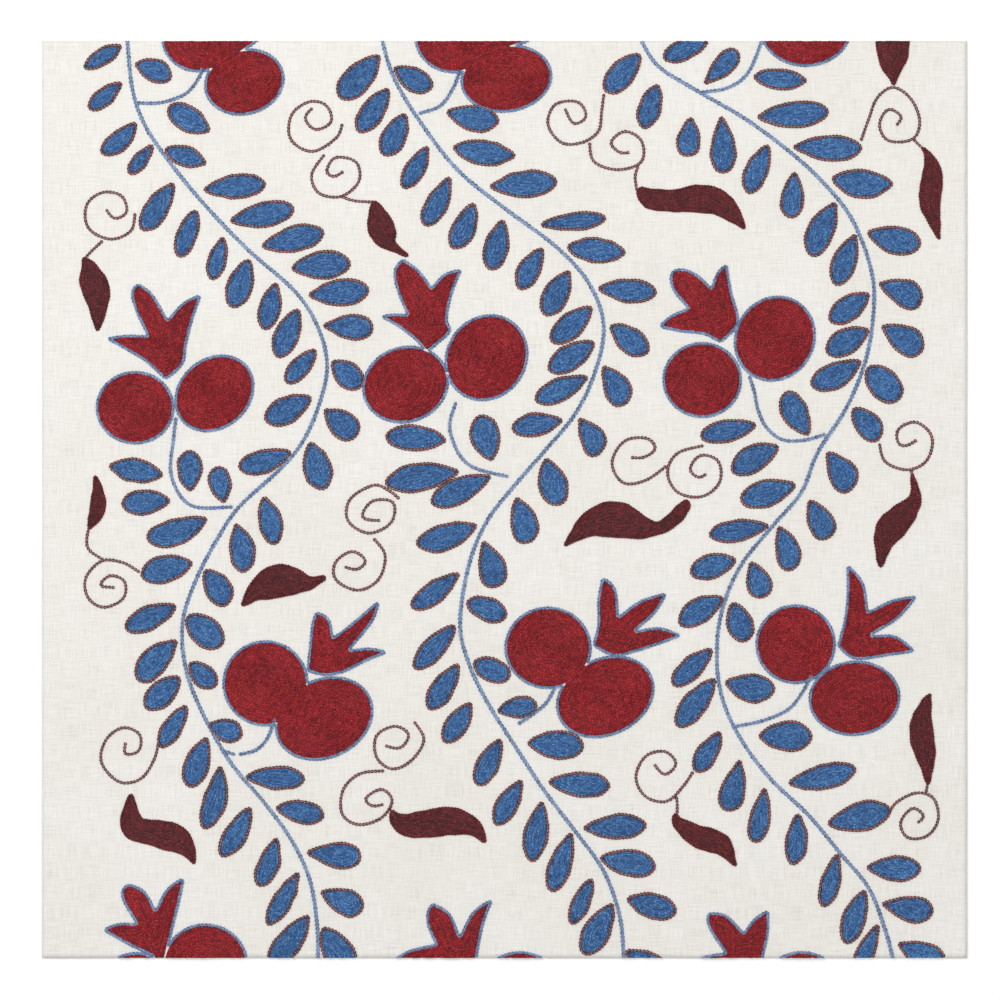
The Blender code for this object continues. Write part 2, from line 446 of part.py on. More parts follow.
def make_collection(name):
    collection = bpy.data.collections.new(name)
    bpy.context.scene.collection.children.link(collection)
    return collection


def make_material(name, colour, roughness):
    """A matt or silky finish of one colour."""
    material = bpy.data.materials.new(name)
    material.use_nodes = True
    shader = material.node_tree.nodes["Principled BSDF"]
    shader.inputs["Base Color"].default_value = (*colour, 1)
    shader.inputs["Roughness"].default_value = roughness
    shader.inputs["Metallic"].default_value = 0
    return material


def motif_curve(name, outline, height, material):
    """A flat outline, thickened from inside the cloth to its height above it."""
    curve = bpy.data.curves.new(name, "CURVE")
    curve.dimensions = "2D"
    curve.fill_mode = "BOTH"
    curve.extrude = (SUNK + height) / 2
    curve.materials.append(material)
    spline = curve.splines.new("POLY")
    spline.points.add(len(outline) - 1)
    for point, (x, y) in zip(spline.points, outline):
        point.co = (*at(x, y), 0, 1)
    spline.use_cyclic_u = True
    motif = bpy.data.objects.new(name, curve)
    motif.location.z = CLOTH_THICKNESS + (height - SUNK) / 2
    bpy.context.scene.collection.objects.link(motif)
    return motif


def closed_mesh(curve, view):
    """The mesh of a thickened outline, with its loose caps joined to its sides."""
    mesh = bpy.data.meshes.new_from_object(curve.evaluated_get(view))
    shape = bmesh.new()
    shape.from_mesh(mesh)
    bmesh.ops.remove_doubles(shape, verts=shape.verts, dist=WELD_DISTANCE)
    shape.to_mesh(mesh)
    shape.free()
    return mesh


def as_solids(curves, collection):
    """Puts a solid in the collection for each thickened outline, and removes the outlines."""
    bpy.context.view_layer.update()
    view = bpy.context.evaluated_depsgraph_get()
    for curve in curves:
        solid = bpy.data.objects.new(curve.name + "_solid", closed_mesh(curve, view))
        solid.matrix_world = curve.matrix_world.copy()
        solid.hide_render = True
        solid.display_type = "WIRE"
        collection.objects.link(solid)
    for curve in curves:
        bpy.data.objects.remove(curve)


def motif_curves():
    """The outlines of the whole drawing, each with the height and the finish of its kind."""
    blue = make_material("blue_silk", (0.09, 0.24, 0.52), 0.45)
    red = make_material("red_silk", (0.50, 0.02, 0.03), 0.45)
    maroon = make_material("maroon_silk", (0.17, 0.015, 0.025), 0.45)
    outlines = []
    for k, vine in enumerate(VINES):
        rows = [(x, y, VINE_HALF_WIDTH) for x, y in vine]
        outlines.append((f"vine_{k + 1}", ribbon(rows, VINE_STEPS), VINE_HEIGHT, blue))
    for k, stem in enumerate(STEMS):
        rows = [(x, y, STEM_HALF_WIDTH) for x, y in stem]
        outlines.append((f"stem_{k + 1}", ribbon(rows, STEM_STEPS), STEM_HEIGHT, blue))
    for k, leaf in enumerate(LEAVES):
        outlines.append((f"leaf_{k + 1}", leaf_outline(leaf), LEAF_HEIGHT, blue))
    for k, tendril in enumerate(TENDRILS):
        rows = [(x, y, TENDRIL_HALF_WIDTH) for x, y in tendril]
        outlines.append((f"tendril_{k + 1}", ribbon(rows, TENDRIL_STEPS), TENDRIL_HEIGHT, maroon))
    for k, rows in enumerate(DARK_LEAVES):
        outlines.append((f"dark_leaf_{k + 1}", ribbon(rows, DARK_LEAF_STEPS), DARK_LEAF_HEIGHT, maroon))
    for k, fruit in enumerate(POMEGRANATES):
        for lobe, height in zip(fruit.lobes, (LOBE_HEIGHT, SECOND_LOBE_HEIGHT)):
            outlines.append((f"lobe_{k + 1}", lobe_outline(lobe), height, red))
        if fruit.crown:
            outlines.append((f"crown_{k + 1}", crown_outline(fruit.crown), CROWN_HEIGHT, red))
    return [motif_curve(*row) for row in outlines if is_on_cloth(row[1])]


def block(name, width, length, bottom, top, collection):
    """A box about the cloth's middle."""
    bpy.ops.mesh.primitive_cube_add(size=1, location=(0, 0, (bottom + top) / 2))
    made = bpy.context.active_object
    made.name = name
    made.data.transform(Matrix.Diagonal((width, length, top - bottom, 1)))
    for owner in made.users_collection:
        owner.objects.unlink(made)
    collection.objects.link(made)
    return made


def add_boolean(target, name, operation, **operand):
    """A Boolean with the exact solver."""
    modifier = target.modifiers.new(name, "BOOLEAN")
    modifier.operation = operation
    modifier.solver = "EXACT"
    for key, value in operand.items():
        setattr(modifier, key, value)
    return modifier


def make_cloth(parts, motifs, trims):
    """The one solid: the sheet with every motif joined to its face, cut to the sheet's size."""
    cotton = make_material("cotton", (0.80, 0.78, 0.74), 0.9)
    cloth = block("cloth", CLOTH_WIDTH + 2 * TRIM_MARGIN, CLOTH_LENGTH + 2 * TRIM_MARGIN,
                  0, CLOTH_THICKNESS, parts)
    cloth.data.materials.append(cotton)
    trim = block("trim", CLOTH_WIDTH, CLOTH_LENGTH, -TRIM_HEIGHT, TRIM_HEIGHT, trims)
    trim.hide_render = True
    trim.display_type = "WIRE"
    add_boolean(cloth, "embroidery", "UNION", operand_type="COLLECTION", collection=motifs,
                use_self=True, material_mode="TRANSFER")
    add_boolean(cloth, "cut_to_size", "INTERSECT", object=trim)
    return cloth


def main():
    for leftover in list(bpy.data.objects):
        bpy.data.objects.remove(leftover)
    parts = make_collection(NAME)
    motifs = make_collection("motifs")
    trims = make_collection("trims")
    as_solids(motif_curves(), motifs)
    make_cloth(parts, motifs, trims)


main()
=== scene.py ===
"""The looks of a cut length of suzani embroidery lying flat: silk chain stitch on off-white cotton.

Every stitch is modelled as two strands that part and close again round the start of the next stitch.
The tables give the drawing in millimetres from the cloth's near left corner.
"""
import math
from collections import namedtuple

import bpy
import numpy as np
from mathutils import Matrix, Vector
from mathutils.geometry import delaunay_2d_cdt


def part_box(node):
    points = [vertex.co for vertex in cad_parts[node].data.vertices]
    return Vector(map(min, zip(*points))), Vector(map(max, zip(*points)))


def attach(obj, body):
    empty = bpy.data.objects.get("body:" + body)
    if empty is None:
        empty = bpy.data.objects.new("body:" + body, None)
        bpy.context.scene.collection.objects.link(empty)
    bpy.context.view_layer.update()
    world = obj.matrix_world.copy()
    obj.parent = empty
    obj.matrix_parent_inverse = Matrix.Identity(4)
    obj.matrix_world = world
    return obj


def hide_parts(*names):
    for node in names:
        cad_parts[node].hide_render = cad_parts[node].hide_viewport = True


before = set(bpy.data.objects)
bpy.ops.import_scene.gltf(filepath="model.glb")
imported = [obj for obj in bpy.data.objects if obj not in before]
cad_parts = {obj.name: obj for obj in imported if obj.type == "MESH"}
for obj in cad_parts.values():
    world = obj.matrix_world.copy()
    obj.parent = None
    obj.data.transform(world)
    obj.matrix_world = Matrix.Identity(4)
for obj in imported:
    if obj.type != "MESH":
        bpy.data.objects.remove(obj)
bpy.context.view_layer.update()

MM = 0.001
SEED = 11
chance = np.random.default_rng(SEED)

CLOTH_LOW, CLOTH_HIGH = (Vector(corner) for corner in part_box("cloth"))
WIDTH = (CLOTH_HIGH.x - CLOTH_LOW.x) / MM
LENGTH = (CLOTH_HIGH.y - CLOTH_LOW.y) / MM

# The cotton sheet, in mm.
CLOTH_GRID = 2.6
CLOTH_THICKNESS = 0.45
CLOTH_LEVEL = 0.85  # how high its upper face lies between the puckers

# The silk, in mm: rows of chain stitch.
GRID = 0.4  # spacing of the grids on which distances from an outline are worked out
OUTLINE_WIDTH = 1.9
FILL_PITCH = 1.4
BED_LIFT = 0.30

Stitch = namedtuple("Stitch", "length width height")
FILL = Stitch(1.75, 1.50, 0.80)
LOBE_FILL = Stitch(1.75, 1.50, 0.95)
OUTLINE = Stitch(2.0, 2.0, 0.90)
VINE = Stitch(2.3, 2.6, 1.00)
STEM = Stitch(2.2, 2.3, 0.95)
TENDRIL = Stitch(1.9, 2.0, 0.80)
DARK_FILL = Stitch(1.75, 1.50, 0.85)

# A leaf's half width grows as u**rise and falls as (1-u)**fall, with u from 0 at the tip to 1 at the end.
LEAF_KINDS = {
    "leaf": (0.85, 0.60),
    "drop": (1.00, 0.50),
    "almond": (0.80, 0.80),
    "oval": (0.60, 0.50),
}

Leaf = namedtuple("Leaf", "tip_x tip_y end_x end_y width bow kind")
Lobe = namedtuple("Lobe", "x y half_length half_width tilt")
Pomegranate = namedtuple("Pomegranate", "lobes crown")

# Centre lines of the three vines, from the far edge to the near edge: (x, y).
VINES = (
    ((46, 514), (47, 505.6), (49.8, 479), (57, 458.5), (71, 438), (89, 416), (113, 391), (139, 368),
     (151.7, 348.7), (157.2, 327.4), (153, 306), (143.7, 284.7), (130.3, 268.7), (108.5, 248.7), (96, 230),
     (84.5, 207.7), (77.4, 184.6), (79.2, 159.7), (88.1, 135.7), (104, 107.6), (122, 86.3), (137.5, 65),
     (147.7, 42.7), (151.7, 17.8), (152.1, 0), (152, -8)),
    ((187, 514), (187.7, 505.6), (194, 485.3), (207.7, 462.2), (229, 434.6), (255.3, 413.2), (283.8, 391.9),
     (301.6, 371.9), (309.6, 349.6), (306, 326.5), (295, 301.6), (277.6, 280.2), (259.8, 259.8),
     (245.1, 240.6), (235.3, 216.6), (230.4, 184.6), (235.3, 162.4), (246, 140.1), (261.6, 115.6),
     (276.7, 92.5), (293.6, 70.3), (309.6, 48), (318.5, 23.1), (320.7, 0), (320.7, -8)),
    ((326, 514), (330.5, 505.6), (340, 491.5), (362, 477.7), (385.7, 464), (407, 448.8), (428.4, 430),
     (446.2, 408), (457, 380), (458.6, 357.6), (454.2, 330), (443.5, 303.4), (427.5, 278.5),
     (418.6, 256.7), (401.7, 237), (384.8, 215.7), (374.6, 190.8), (372, 165), (375.4, 142), (385.7, 120),
     (401.7, 98.7), (423, 78.3), (440, 57.8), (456, 38.2), (465.3, 14.2), (468.9, 0), (470, -8)),
)

# Stems that carry the pomegranates: (x, y).
STEMS = (
    ((52.5, 471.5), (66, 471.7), (79, 476.5), (86, 484.5), (88.5, 491)),
    ((207.7, 465.7), (219.3, 469.7), (226.4, 479.1), (230, 488.4)),
    ((363.4, 477.3), (378, 479.8), (389.2, 488), (396.8, 505.6), (398, 512)),
    ((73.8, 298), (72.5, 286.5), (71.2, 266), (81.9, 249.5), (105, 248.7)),
    ((228.2, 306.5), (224.8, 291), (234.5, 272.4), (257, 265.4)),
    ((390, 321), (393, 311), (394.5, 303), (399, 293), (408, 285.8), (420, 285.5), (432, 288.8)),
    ((128.3, 132), (124.5, 121.5), (118, 114.7), (108.6, 112.3)),
    ((106.3, 112.2), (99.5, 114.3)),
    ((283, 149.5), (276.7, 139.2), (262.5, 129)),
    ((424.5, 156), (419.5, 147), (412, 137.5), (398, 131), (380.5, 127.3)),
)

# Leaves beside the vines, a vine and a side at a time. bow is how far the spine bends to its left.
LEAVES = {side: tuple(Leaf(*row) for row in rows) for side, rows in {
    "vine_1_left": (
        (44.5, 503.8, 22.3, 490, 10.8, 0, "almond"),
        (45, 483.5, 25.4, 467.7, 11, 0, "leaf"),
        (52.7, 461.7, 32.5, 443, 12.6, 1.4, "leaf"),
        (61.8, 449.3, 47.5, 431.5, 9.5, 0, "leaf"),
        (73, 428.4, 55, 400.5, 14.5, 0, "leaf"),
        (85, 413, 75.2, 385.7, 12.3, 0, "oval"),
        (100.3, 398.6, 93.5, 373.5, 11.4, 0, "leaf"),
        (114.6, 386.5, 104.5, 358, 15.2, 0, "leaf"),
        (129, 373.3, 122.5, 345.8, 13.3, 0, "leaf"),
        (141.7, 359.3, 129.5, 330.5, 14.5, 0, "leaf"),
        (151.7, 336.7, 134.3, 316.5, 12, 0, "leaf"),
        (149.5, 309.5, 122.5, 296, 16, 0, "leaf"),
        (138.8, 279.5, 107.8, 270, 14.2, 0.8, "leaf"),
        (81.4, 256.4, 81.4, 280.7, 15, 0, "leaf"),
        (100.3, 250.4, 96.3, 271.5, 13.8, 0, "leaf"),
        (67.5, 266, 36, 271.5, 14.2, 0, "almond"),
        (71.6, 252.7, 43.3, 250, 15, 0, "leaf"),
        (92.1, 242.9, 56.9, 230.7, 16, 1.7, "leaf"),
        (84.3, 218.4, 53.8, 211, 16.4, 0, "leaf"),
        (75.2, 194.8, 45.4, 181.3, 14.5, 0, "leaf"),
        (74.9, 175.7, 52.3, 152.3, 16.5, -1, "leaf"),
        (77, 155.8, 56.5, 137.5, 15.4, 0, "leaf"),
        (80.7, 140.8, 64.5, 115.5, 12, 0, "leaf"),
        (91, 122.5, 81, 93.5, 15.2, -0.3, "leaf"),
        (98.5, 107, 89, 70.5, 14, 2.1, "leaf"),
        (115.5, 84.3, 98.5, 55.5, 13.8, 0.8, "leaf"),
        (129.5, 67.5, 119, 39, 13, 1.3, "leaf"),
        (142, 48.5, 124, 17.5, 12, 0.4, "leaf"),
        (148, 25, 125, -4, 15.2, 1, "leaf"),
    ),
    "vine_1_right": (
        (50, 493.3, 71.8, 484.5, 13.8, 1.1, "leaf"),
        (93.4, 455, 69, 469.5, 15.5, 0, "leaf"),
        (91.2, 438, 66.8, 446, 12.5, 0, "almond"),
        (87.6, 423.5, 124, 427, 14.5, 0, "leaf"),
        (102.3, 406, 139.7, 413.3, 15, 0, "leaf"),
        (120.1, 391.9, 155.7, 400.5, 15.5, 0, "leaf"),
        (136.1, 380.1, 170.6, 383.7, 16.5, 0, "leaf"),
        (146.1, 365.4, 180.7, 368.3, 16, 0, "leaf"),
        (153.6, 348.8, 182.8, 347.3, 15.3, 0, "drop"),
        (159, 329.8, 176.5, 314.5, 15.5, 0, "leaf"),
        (154.5, 303.6, 173.7, 287.5, 16.5, 0, "drop"),
        (147.5, 285.6, 155.2, 257.8, 16.8, 0, "leaf"),
        (121.9, 255.5, 128.3, 227.5, 14.2, 0.6, "leaf"),
        (106.6, 240.4, 111, 212, 15.3, 1.5, "leaf"),
        (89.4, 215, 102.5, 194, 15.8, 0.6, "leaf"),
        (79.5, 188.5, 99.5, 172, 17.5, 0, "oval"),
        (80.1, 163.7, 95.7, 149, 13.5, 0, "leaf"),
        (91, 129, 111, 122.5, 13.8, 0, "leaf"),
        (110.8, 100, 145.6, 98.7, 14, 0, "leaf"),
        (127.5, 83, 156.3, 78.3, 14, 0, "leaf"),
        (144.4, 58.3, 176.3, 55.8, 15.7, -0.3, "drop"),
        (152, 37.3, 177, 26.5, 15.8, 0, "drop"),
        (154, 18, 171, -9, 18, 0, "leaf"),
    ),
    "vine_2_left": (
        (187, 498.5, 163.5, 473.5, 17, 0, "leaf"),
        (191.8, 480.6, 174.2, 455, 14.3, 0, "leaf"),
        (201, 466.6, 188.3, 441.7, 14.7, 0, "leaf"),
        (213.5, 448.8, 198.8, 423.9, 12, 0.4, "leaf"),
        (225.1, 431.5, 210.2, 403, 13.5, 0.8, "leaf"),
        (238.6, 417.3, 226, 390.5, 14.2, 1, "leaf"),
        (254, 407.9, 247, 378.6, 14.6, 0.3, "leaf"),
        (276.5, 392.3, 262.7, 368.3, 13.5, -0.4, "leaf"),
        (291, 380, 277, 353.8, 15.3, 0, "leaf"),
        (304.4, 360, 280.5, 339, 15, 0, "leaf"),
        (306, 340.3, 278.8, 323.5, 15.2, 0, "leaf"),
        (302, 320.8, 271.3, 307, 14, 0, "leaf"),
        (287.8, 296.7, 258.7, 291.8, 14, 0, "leaf"),
        (248.2, 273.1, 242, 300, 17.6, 0.6, "leaf"),
        (224.6, 285.6, 189, 287.6, 15.5, 0, "leaf"),
        (231, 268.3, 188.8, 261.5, 16.8, -0.5, "leaf"),
        (248.2, 266.2, 214, 250.3, 15.5, 0, "leaf"),
        (241.1, 239.5, 206.1, 227.5, 15.6, 1, "leaf"),
        (230.9, 213, 203, 192.3, 13.2, 0.5, "leaf"),
        (228.9, 184.8, 205, 159, 13.5, 0, "leaf"),
        (230.2, 163.3, 213, 136.5, 13.8, 0, "leaf"),
        (237.3, 141.5, 221.8, 118.3, 13.8, 0, "leaf"),
        (253.2, 121.8, 239.8, 94.5, 13.5, 0, "leaf"),
        (264.7, 98.8, 249.8, 73, 13.5, 0, "leaf"),
        (275.8, 87, 269.5, 52.7, 14.3, 0, "leaf"),
        (292, 69.8, 280.5, 35.8, 13.8, 0, "leaf"),
        (304, 45.5, 291.5, 18, 11.3, 0, "leaf"),
        (315, 31, 298.5, 1.3, 16, 0, "leaf"),
    ),
    "vine_2_right": (
        (193.3, 491.2, 215.6, 479.3, 14.4, -0.5, "leaf"),
        (222, 466.6, 252.3, 461.3, 15.4, -0.8, "leaf"),
        (225.5, 447.2, 261.8, 442.2, 14.8, -0.8, "almond"),
        (246, 425.3, 284.5, 428, 16, 0, "leaf"),
        (272.7, 403.9, 311.8, 408, 11, 0, "leaf"),
        (288.3, 392, 323, 388.8, 14.8, -0.2, "almond"),
        (305.3, 369.2, 339.3, 366.8, 14.3, 0, "leaf"),
        (312.7, 349.5, 334.2, 333, 15.5, 0, "leaf"),
        (308.3, 327.8, 320.8, 304.3, 16, 1.5, "drop"),
        (295, 298.9, 306.8, 277, 15.2, 1.8, "drop"),
        (277.5, 276.2, 285, 248.8, 17.3, 0, "leaf"),
        (260.7, 256, 267.5, 228.2, 16.6, 1.3, "drop"),
        (242.5, 231, 250.3, 203.7, 16.4, 1.2, "drop"),
        (233.8, 196.8, 256.5, 188, 14.5, 0, "oval"),
        (237, 162.8, 258.6, 155, 14.3, 0, "oval"),
        (250, 136.1, 273.8, 140, 13, 0, "leaf"),
        (266.4, 118.6, 299.3, 116.6, 17, 0, "leaf"),
        (278, 97.3, 313.9, 95, 15.2, -0.5, "leaf"),
        (297.6, 71.3, 333.5, 73.3, 15, 0, "leaf"),
        (306.5, 55.5, 339, 49.7, 16.3, 0, "leaf"),
        (321.2, 32.8, 350.3, 25, 15.5, 0, "leaf"),
        (321, 4.5, 346, -11, 15, 0, "leaf"),
    ),
    "vine_3_left": (
        (330.5, 499.5, 310.3, 477, 15.6, 0, "leaf"),
        (340, 483.3, 331, 456.8, 13.8, 0, "leaf"),
        (358.1, 465.3, 355.4, 441.3, 14.2, 0, "drop"),
        (374.4, 466, 375.4, 432.4, 15.2, 0.6, "drop"),
        (401, 449.7, 388.8, 420.8, 13.8, -0.5, "leaf"),
        (415.2, 435.5, 412.5, 407.5, 13.9, 0, "drop"),
        (438, 417.5, 423.5, 386.3, 16, -0.9, "leaf"),
        (448.8, 399.7, 437.5, 370.3, 14.6, -0.3, "leaf"),
        (457.2, 367, 434, 350.8, 14.6, 0, "leaf"),
        (456.8, 347.3, 432, 333.5, 15.5, 0, "leaf"),
        (452.3, 329.6, 423.3, 316, 15.6, 1.5, "leaf"),
        (423.2, 287.4, 409.8, 312.8, 15.8, 1, "leaf"),
        (395.5, 294.4, 362.5, 287.3, 13.5, 0, "leaf"),
        (407.3, 282.8, 380, 267.8, 16, -0.8, "leaf"),
        (416.6, 261.3, 384.7, 251.8, 16, 0, "leaf"),
        (401.7, 238.6, 367.3, 233, 13.3, 0, "leaf"),
        (383.9, 220.5, 357, 212, 15, 0, "leaf"),
        (376.8, 199.3, 351, 184, 15, -0.7, "leaf"),
        (370.5, 171.5, 347.3, 150, 13.2, 0, "leaf"),
        (371.9, 155, 350, 127, 14.8, -0.3, "leaf"),
        (374.5, 125.5, 360, 101.8, 13, 0, "leaf"),
        (385, 110.5, 377.3, 80.3, 15, 0.7, "drop"),
        (398.7, 96.5, 392.8, 63, 12.8, 0.6, "drop"),
        (416.8, 80.8, 414, 50.5, 13.2, 0.8, "leaf"),
        (439, 58.5, 430.7, 27.3, 11.8, 0.3, "leaf"),
        (454, 38.8, 443, 7.3, 14, -0.3, "leaf"),
        (461.5, 20, 447, -13, 11.5, 0, "leaf"),
    ),
    "vine_3_right": (
        (368.5, 505.5, 342, 495.5, 12.8, -0.8, "leaf"),
        (363.9, 480.7, 383.8, 501, 12.5, -0.4, "drop"),
        (391, 486.2, 423, 483.8, 12.6, -0.6, "almond"),
        (392.8, 463.5, 434.5, 467, 15.6, -0.4, "leaf"),
        (413.4, 447.3, 452.7, 446.6, 15.2, -0.5, "leaf"),
        (434.8, 430, 470, 426.6, 16.8, -1.6, "almond"),
        (454.3, 400.3, 485.3, 393.3, 16.6, -0.9, "leaf"),
        (460.1, 372.3, 485.5, 361, 16.3, 1.3, "drop"),
        (461.7, 349.4, 485.5, 334.5, 17, 0.4, "drop"),
        (454.6, 326, 473, 307.5, 18, 0, "oval"),
        (446.2, 304, 461.5, 284.8, 15.5, 1, "leaf"),
        (431.9, 280, 445, 256.8, 17, 2, "drop"),
        (422, 254.4, 433.3, 230.4, 15.8, 0.8, "drop"),
        (405.5, 239.8, 413, 213.2, 14.9, 1.5, "drop"),
        (390, 219.9, 397.5, 198.2, 15, 0.8, "drop"),
        (380.3, 197, 388.3, 174, 15.8, 0, "leaf"),
        (375.7, 152, 404.5, 148, 16.8, -1.2, "leaf"),
        (393.9, 122.3, 425.2, 122.3, 17.8, 0, "leaf"),
        (410, 96, 449.3, 104.5, 15, -0.8, "leaf"),
        (432, 73.3, 468.3, 82, 17, 0, "leaf"),
        (454, 49.7, 485.3, 49, 15, 0, "leaf"),
        (461.7, 30.3, 491.8, 25.5, 15.6, -0.7, "drop"),
        (470.5, 8.8, 498, -5, 17, 0, "drop"),
    ),
}.items()}

# The pomegranates: one or two lobes as (x, y, half length, half width, tilt), and the crown as its sides
# in turn, each from a corner to the last point before the next. Those past an edge are cut off there.
POMEGRANATES = tuple(Pomegranate(tuple(Lobe(*row) for row in lobes), crown) for lobes, crown in (
    (((86.5, 507, 21, 19, 0), (111.5, 483, 22.7, 18.5, 15)),
     (((92, 488), (96, 512)), ((124, 510), (113.5, 501)))),
    (((227, 508, 22, 20.5, 0), (256, 485, 25.7, 19, 8)),
     (((236, 490), (245, 514)), ((276, 510), (267, 504.4), (256.5, 500.6)))),
    (((421, 513.5, 26, 22.4, 0),), ()),
    (((51.3, 303.4, 22, 20.5, 0), (95, 311.3, 24, 19.8, 40)),
     (((68, 318), (57.5, 328), (46, 335)), ((33.8, 341.8), (45, 343.8)),
      ((57.5, 343.5), (51.5, 356), (48.8, 366.8)), ((52.5, 372.7), (61, 366.5)), ((69.2, 352.7), (78, 362)),
      ((88.8, 366.8), (83.5, 352), (80, 338), (78, 327)))),
    (((200.4, 316.2, 24.6, 21.3, 20), (245, 331, 25, 22.5, 55)),
     (((212, 333), (206, 340), (196, 347.8)), ((184.3, 354), (193, 355.5)),
      ((200.7, 355.2), (195, 369), (193.7, 379.3)), ((198.5, 386.3), (208, 379.5)),
      ((214.8, 370.2), (221.5, 377.5)), ((232.3, 380.7), (226.5, 366), (223.8, 352), (225.5, 345)))),
    (((364, 318.7, 22.2, 21.2, 0), (404, 341.5, 24.5, 22.3, 60)),
     (((374, 338.5), (365, 343.3), (352, 344.8)), ((338.8, 347.7), (346, 354.3)),
      ((355.5, 358.5), (347.8, 367.5), (345.8, 376)), ((348.5, 380.3), (355.5, 380), (363, 376)),
      ((368.8, 370.2), (372, 378.5)), ((378, 383.7), (380.5, 368), (384.5, 350)))),
    (((123.2, 151.4, 24, 24, 0), (155.5, 132, 28.5, 22.3, 25)),
     (((145.5, 158), (147, 172), (148.3, 184)), ((150.8, 191.6), (158.5, 187.5)),
      ((160.8, 177.5), (172, 186)), ((187, 199.3), (183, 186)), ((170.5, 170.3), (181, 171.3)),
      ((192.5, 168.8), (178, 162.8), (166, 157), (155, 155.3)))),
    (((279, 171, 24.3, 23, 0), (310.5, 144, 28.5, 21.7, 25)),
     (((303, 172), (306, 184), (306, 198)), ((308.7, 211), (316.5, 204)), ((318.2, 189), (330, 197.5)),
      ((345.8, 202.3), (338.5, 190)), ((328.2, 180.8), (341, 182.5)),
      ((354.3, 177.7), (340, 172.5), (326, 168), (315, 166)))),
    (((415.5, 173, 22.4, 22.2, 0), (448, 143.2, 25.6, 21, 5)),
     (((438, 172), (442, 187), (443.5, 203)), ((443, 218.5), (453, 207.5)), ((455.8, 191.5), (469, 197.8)),
      ((484, 200.5), (472.5, 187)), ((458.3, 178.2), (471, 177.8)),
      ((483, 168.7), (468, 166.5), (448, 164.3)))),
    (((52, -18, 21.5, 21.5, 0), (90, -4, 24, 23.3, 0)),
     (((60, 1), (49, 6), (40, 11)), ((32.2, 15.3), (41, 19.3)), ((51.3, 19.3), (44.5, 30.5), (43.5, 37.5)),
      ((47.5, 41.7), (57, 37)), ((62.5, 27.3), (69, 39)), ((79.3, 45.5), (76, 30), (72, 14), (66, -8)))),
    (((263.5, -20, 24, 24, 0),),
     (((192, -2), (202, 4.5)), ((216.5, 7.8), (212, 18), (212, 26)), ((215, 30.8), (225, 25)),
      ((230.3, 12.8), (237.5, 26)), ((250, 34.3), (244, 19), (240.3, 0), (240, -8)))),
    (((419, -20, 24, 24, 0),),
     (((350, -5), (366, 1.5)), ((376, 3), (368.5, 14), (366, 21)), ((367.3, 25.5), (377.5, 24)),
      ((386.8, 14.5), (392.5, 22)), ((401, 27.5), (401, 14), (398, 0), (397, -8)))),
))

# The dark leaves between the vines, each along its spine: (x, y, half width).
DARK_LEAVES = (
    ((22.8, 386.5, 0.9), (25.5, 381, 4.8), (28, 373, 7.8), (30.5, 364.5, 7.3), (30.8, 350, 2.7),
     (30, 345, 0.7)),
    ((183, 418, 1), (184.5, 411.5, 5), (186.5, 404, 7.6), (189.5, 397, 6.8), (193.5, 392.3, 3.2),
     (202.4, 386.6, 1)),
    ((328.5, 424.5, 2), (335, 419, 6), (348, 417.5, 6.3), (362, 418.7, 8), (373, 416.5, 7.4), (381, 410, 5),
     (388, 401.5, 0.8)),
    ((469, 512, 10.2), (469, 497, 8.7), (469, 490, 5.8), (469.5, 484, 2.2), (469.7, 480.5, 0.8)),
    ((485, 447.5, 0.9), (488.5, 442.5, 2.6), (491, 434, 5.4), (490, 424, 6.4), (490, 414, 5.7),
     (494.8, 395.5, 0.8)),
    ((29, 266.5, 0.7), (30.5, 259.5, 3), (31, 252, 4.5), (29.8, 245, 4.4), (25.5, 236, 1)),
    ((287.5, 227, 0.8), (300, 238, 6.5), (310, 241.5, 9.8), (320, 241, 10), (330, 237.5, 7), (340, 237, 3.9),
     (348, 242, 4.2), (353.5, 248, 3.8), (356, 253, 1.8)),
    ((479.3, 268, 0.9), (481.5, 254, 3.7), (475.5, 245, 7), (468, 237, 8.3), (464, 228.5, 5.6),
     (462, 213.8, 0.7)),
    ((109.5, 193.5, 0.8), (115, 199.5, 4.2), (122, 204.5, 7.8), (131, 208, 9.6), (140, 207.5, 7.5),
     (148, 207, 4), (156.5, 210, 1.5)),
    ((490.3, 146.5, 0.8), (487.5, 140.5, 3.4), (485, 131, 6), (485.3, 121, 6.9), (487.3, 111, 5.6),
     (488.6, 95, 1)),
    ((49, 91, 1.2), (48.7, 79.5, 5.3), (50.5, 72.5, 7.2), (57, 69.8, 7), (66, 68, 8), (74, 65.5, 8),
     (80, 60, 5), (84.3, 51.2, 0.8)),
    ((192.5, 81.8, 1), (195.5, 76.5, 4.5), (202, 73.3, 6.8), (213, 74, 8), (224, 75.4, 8.2), (233, 74, 6.7),
     (240, 70, 4.2), (244.5, 63, 0.8)),
    ((349.5, 80, 1.2), (350.5, 75, 3.6), (360, 67.8, 6.2), (368, 65, 6.7), (375.5, 61.5, 5.8),
     (382.8, 50.2, 0.8)),
)

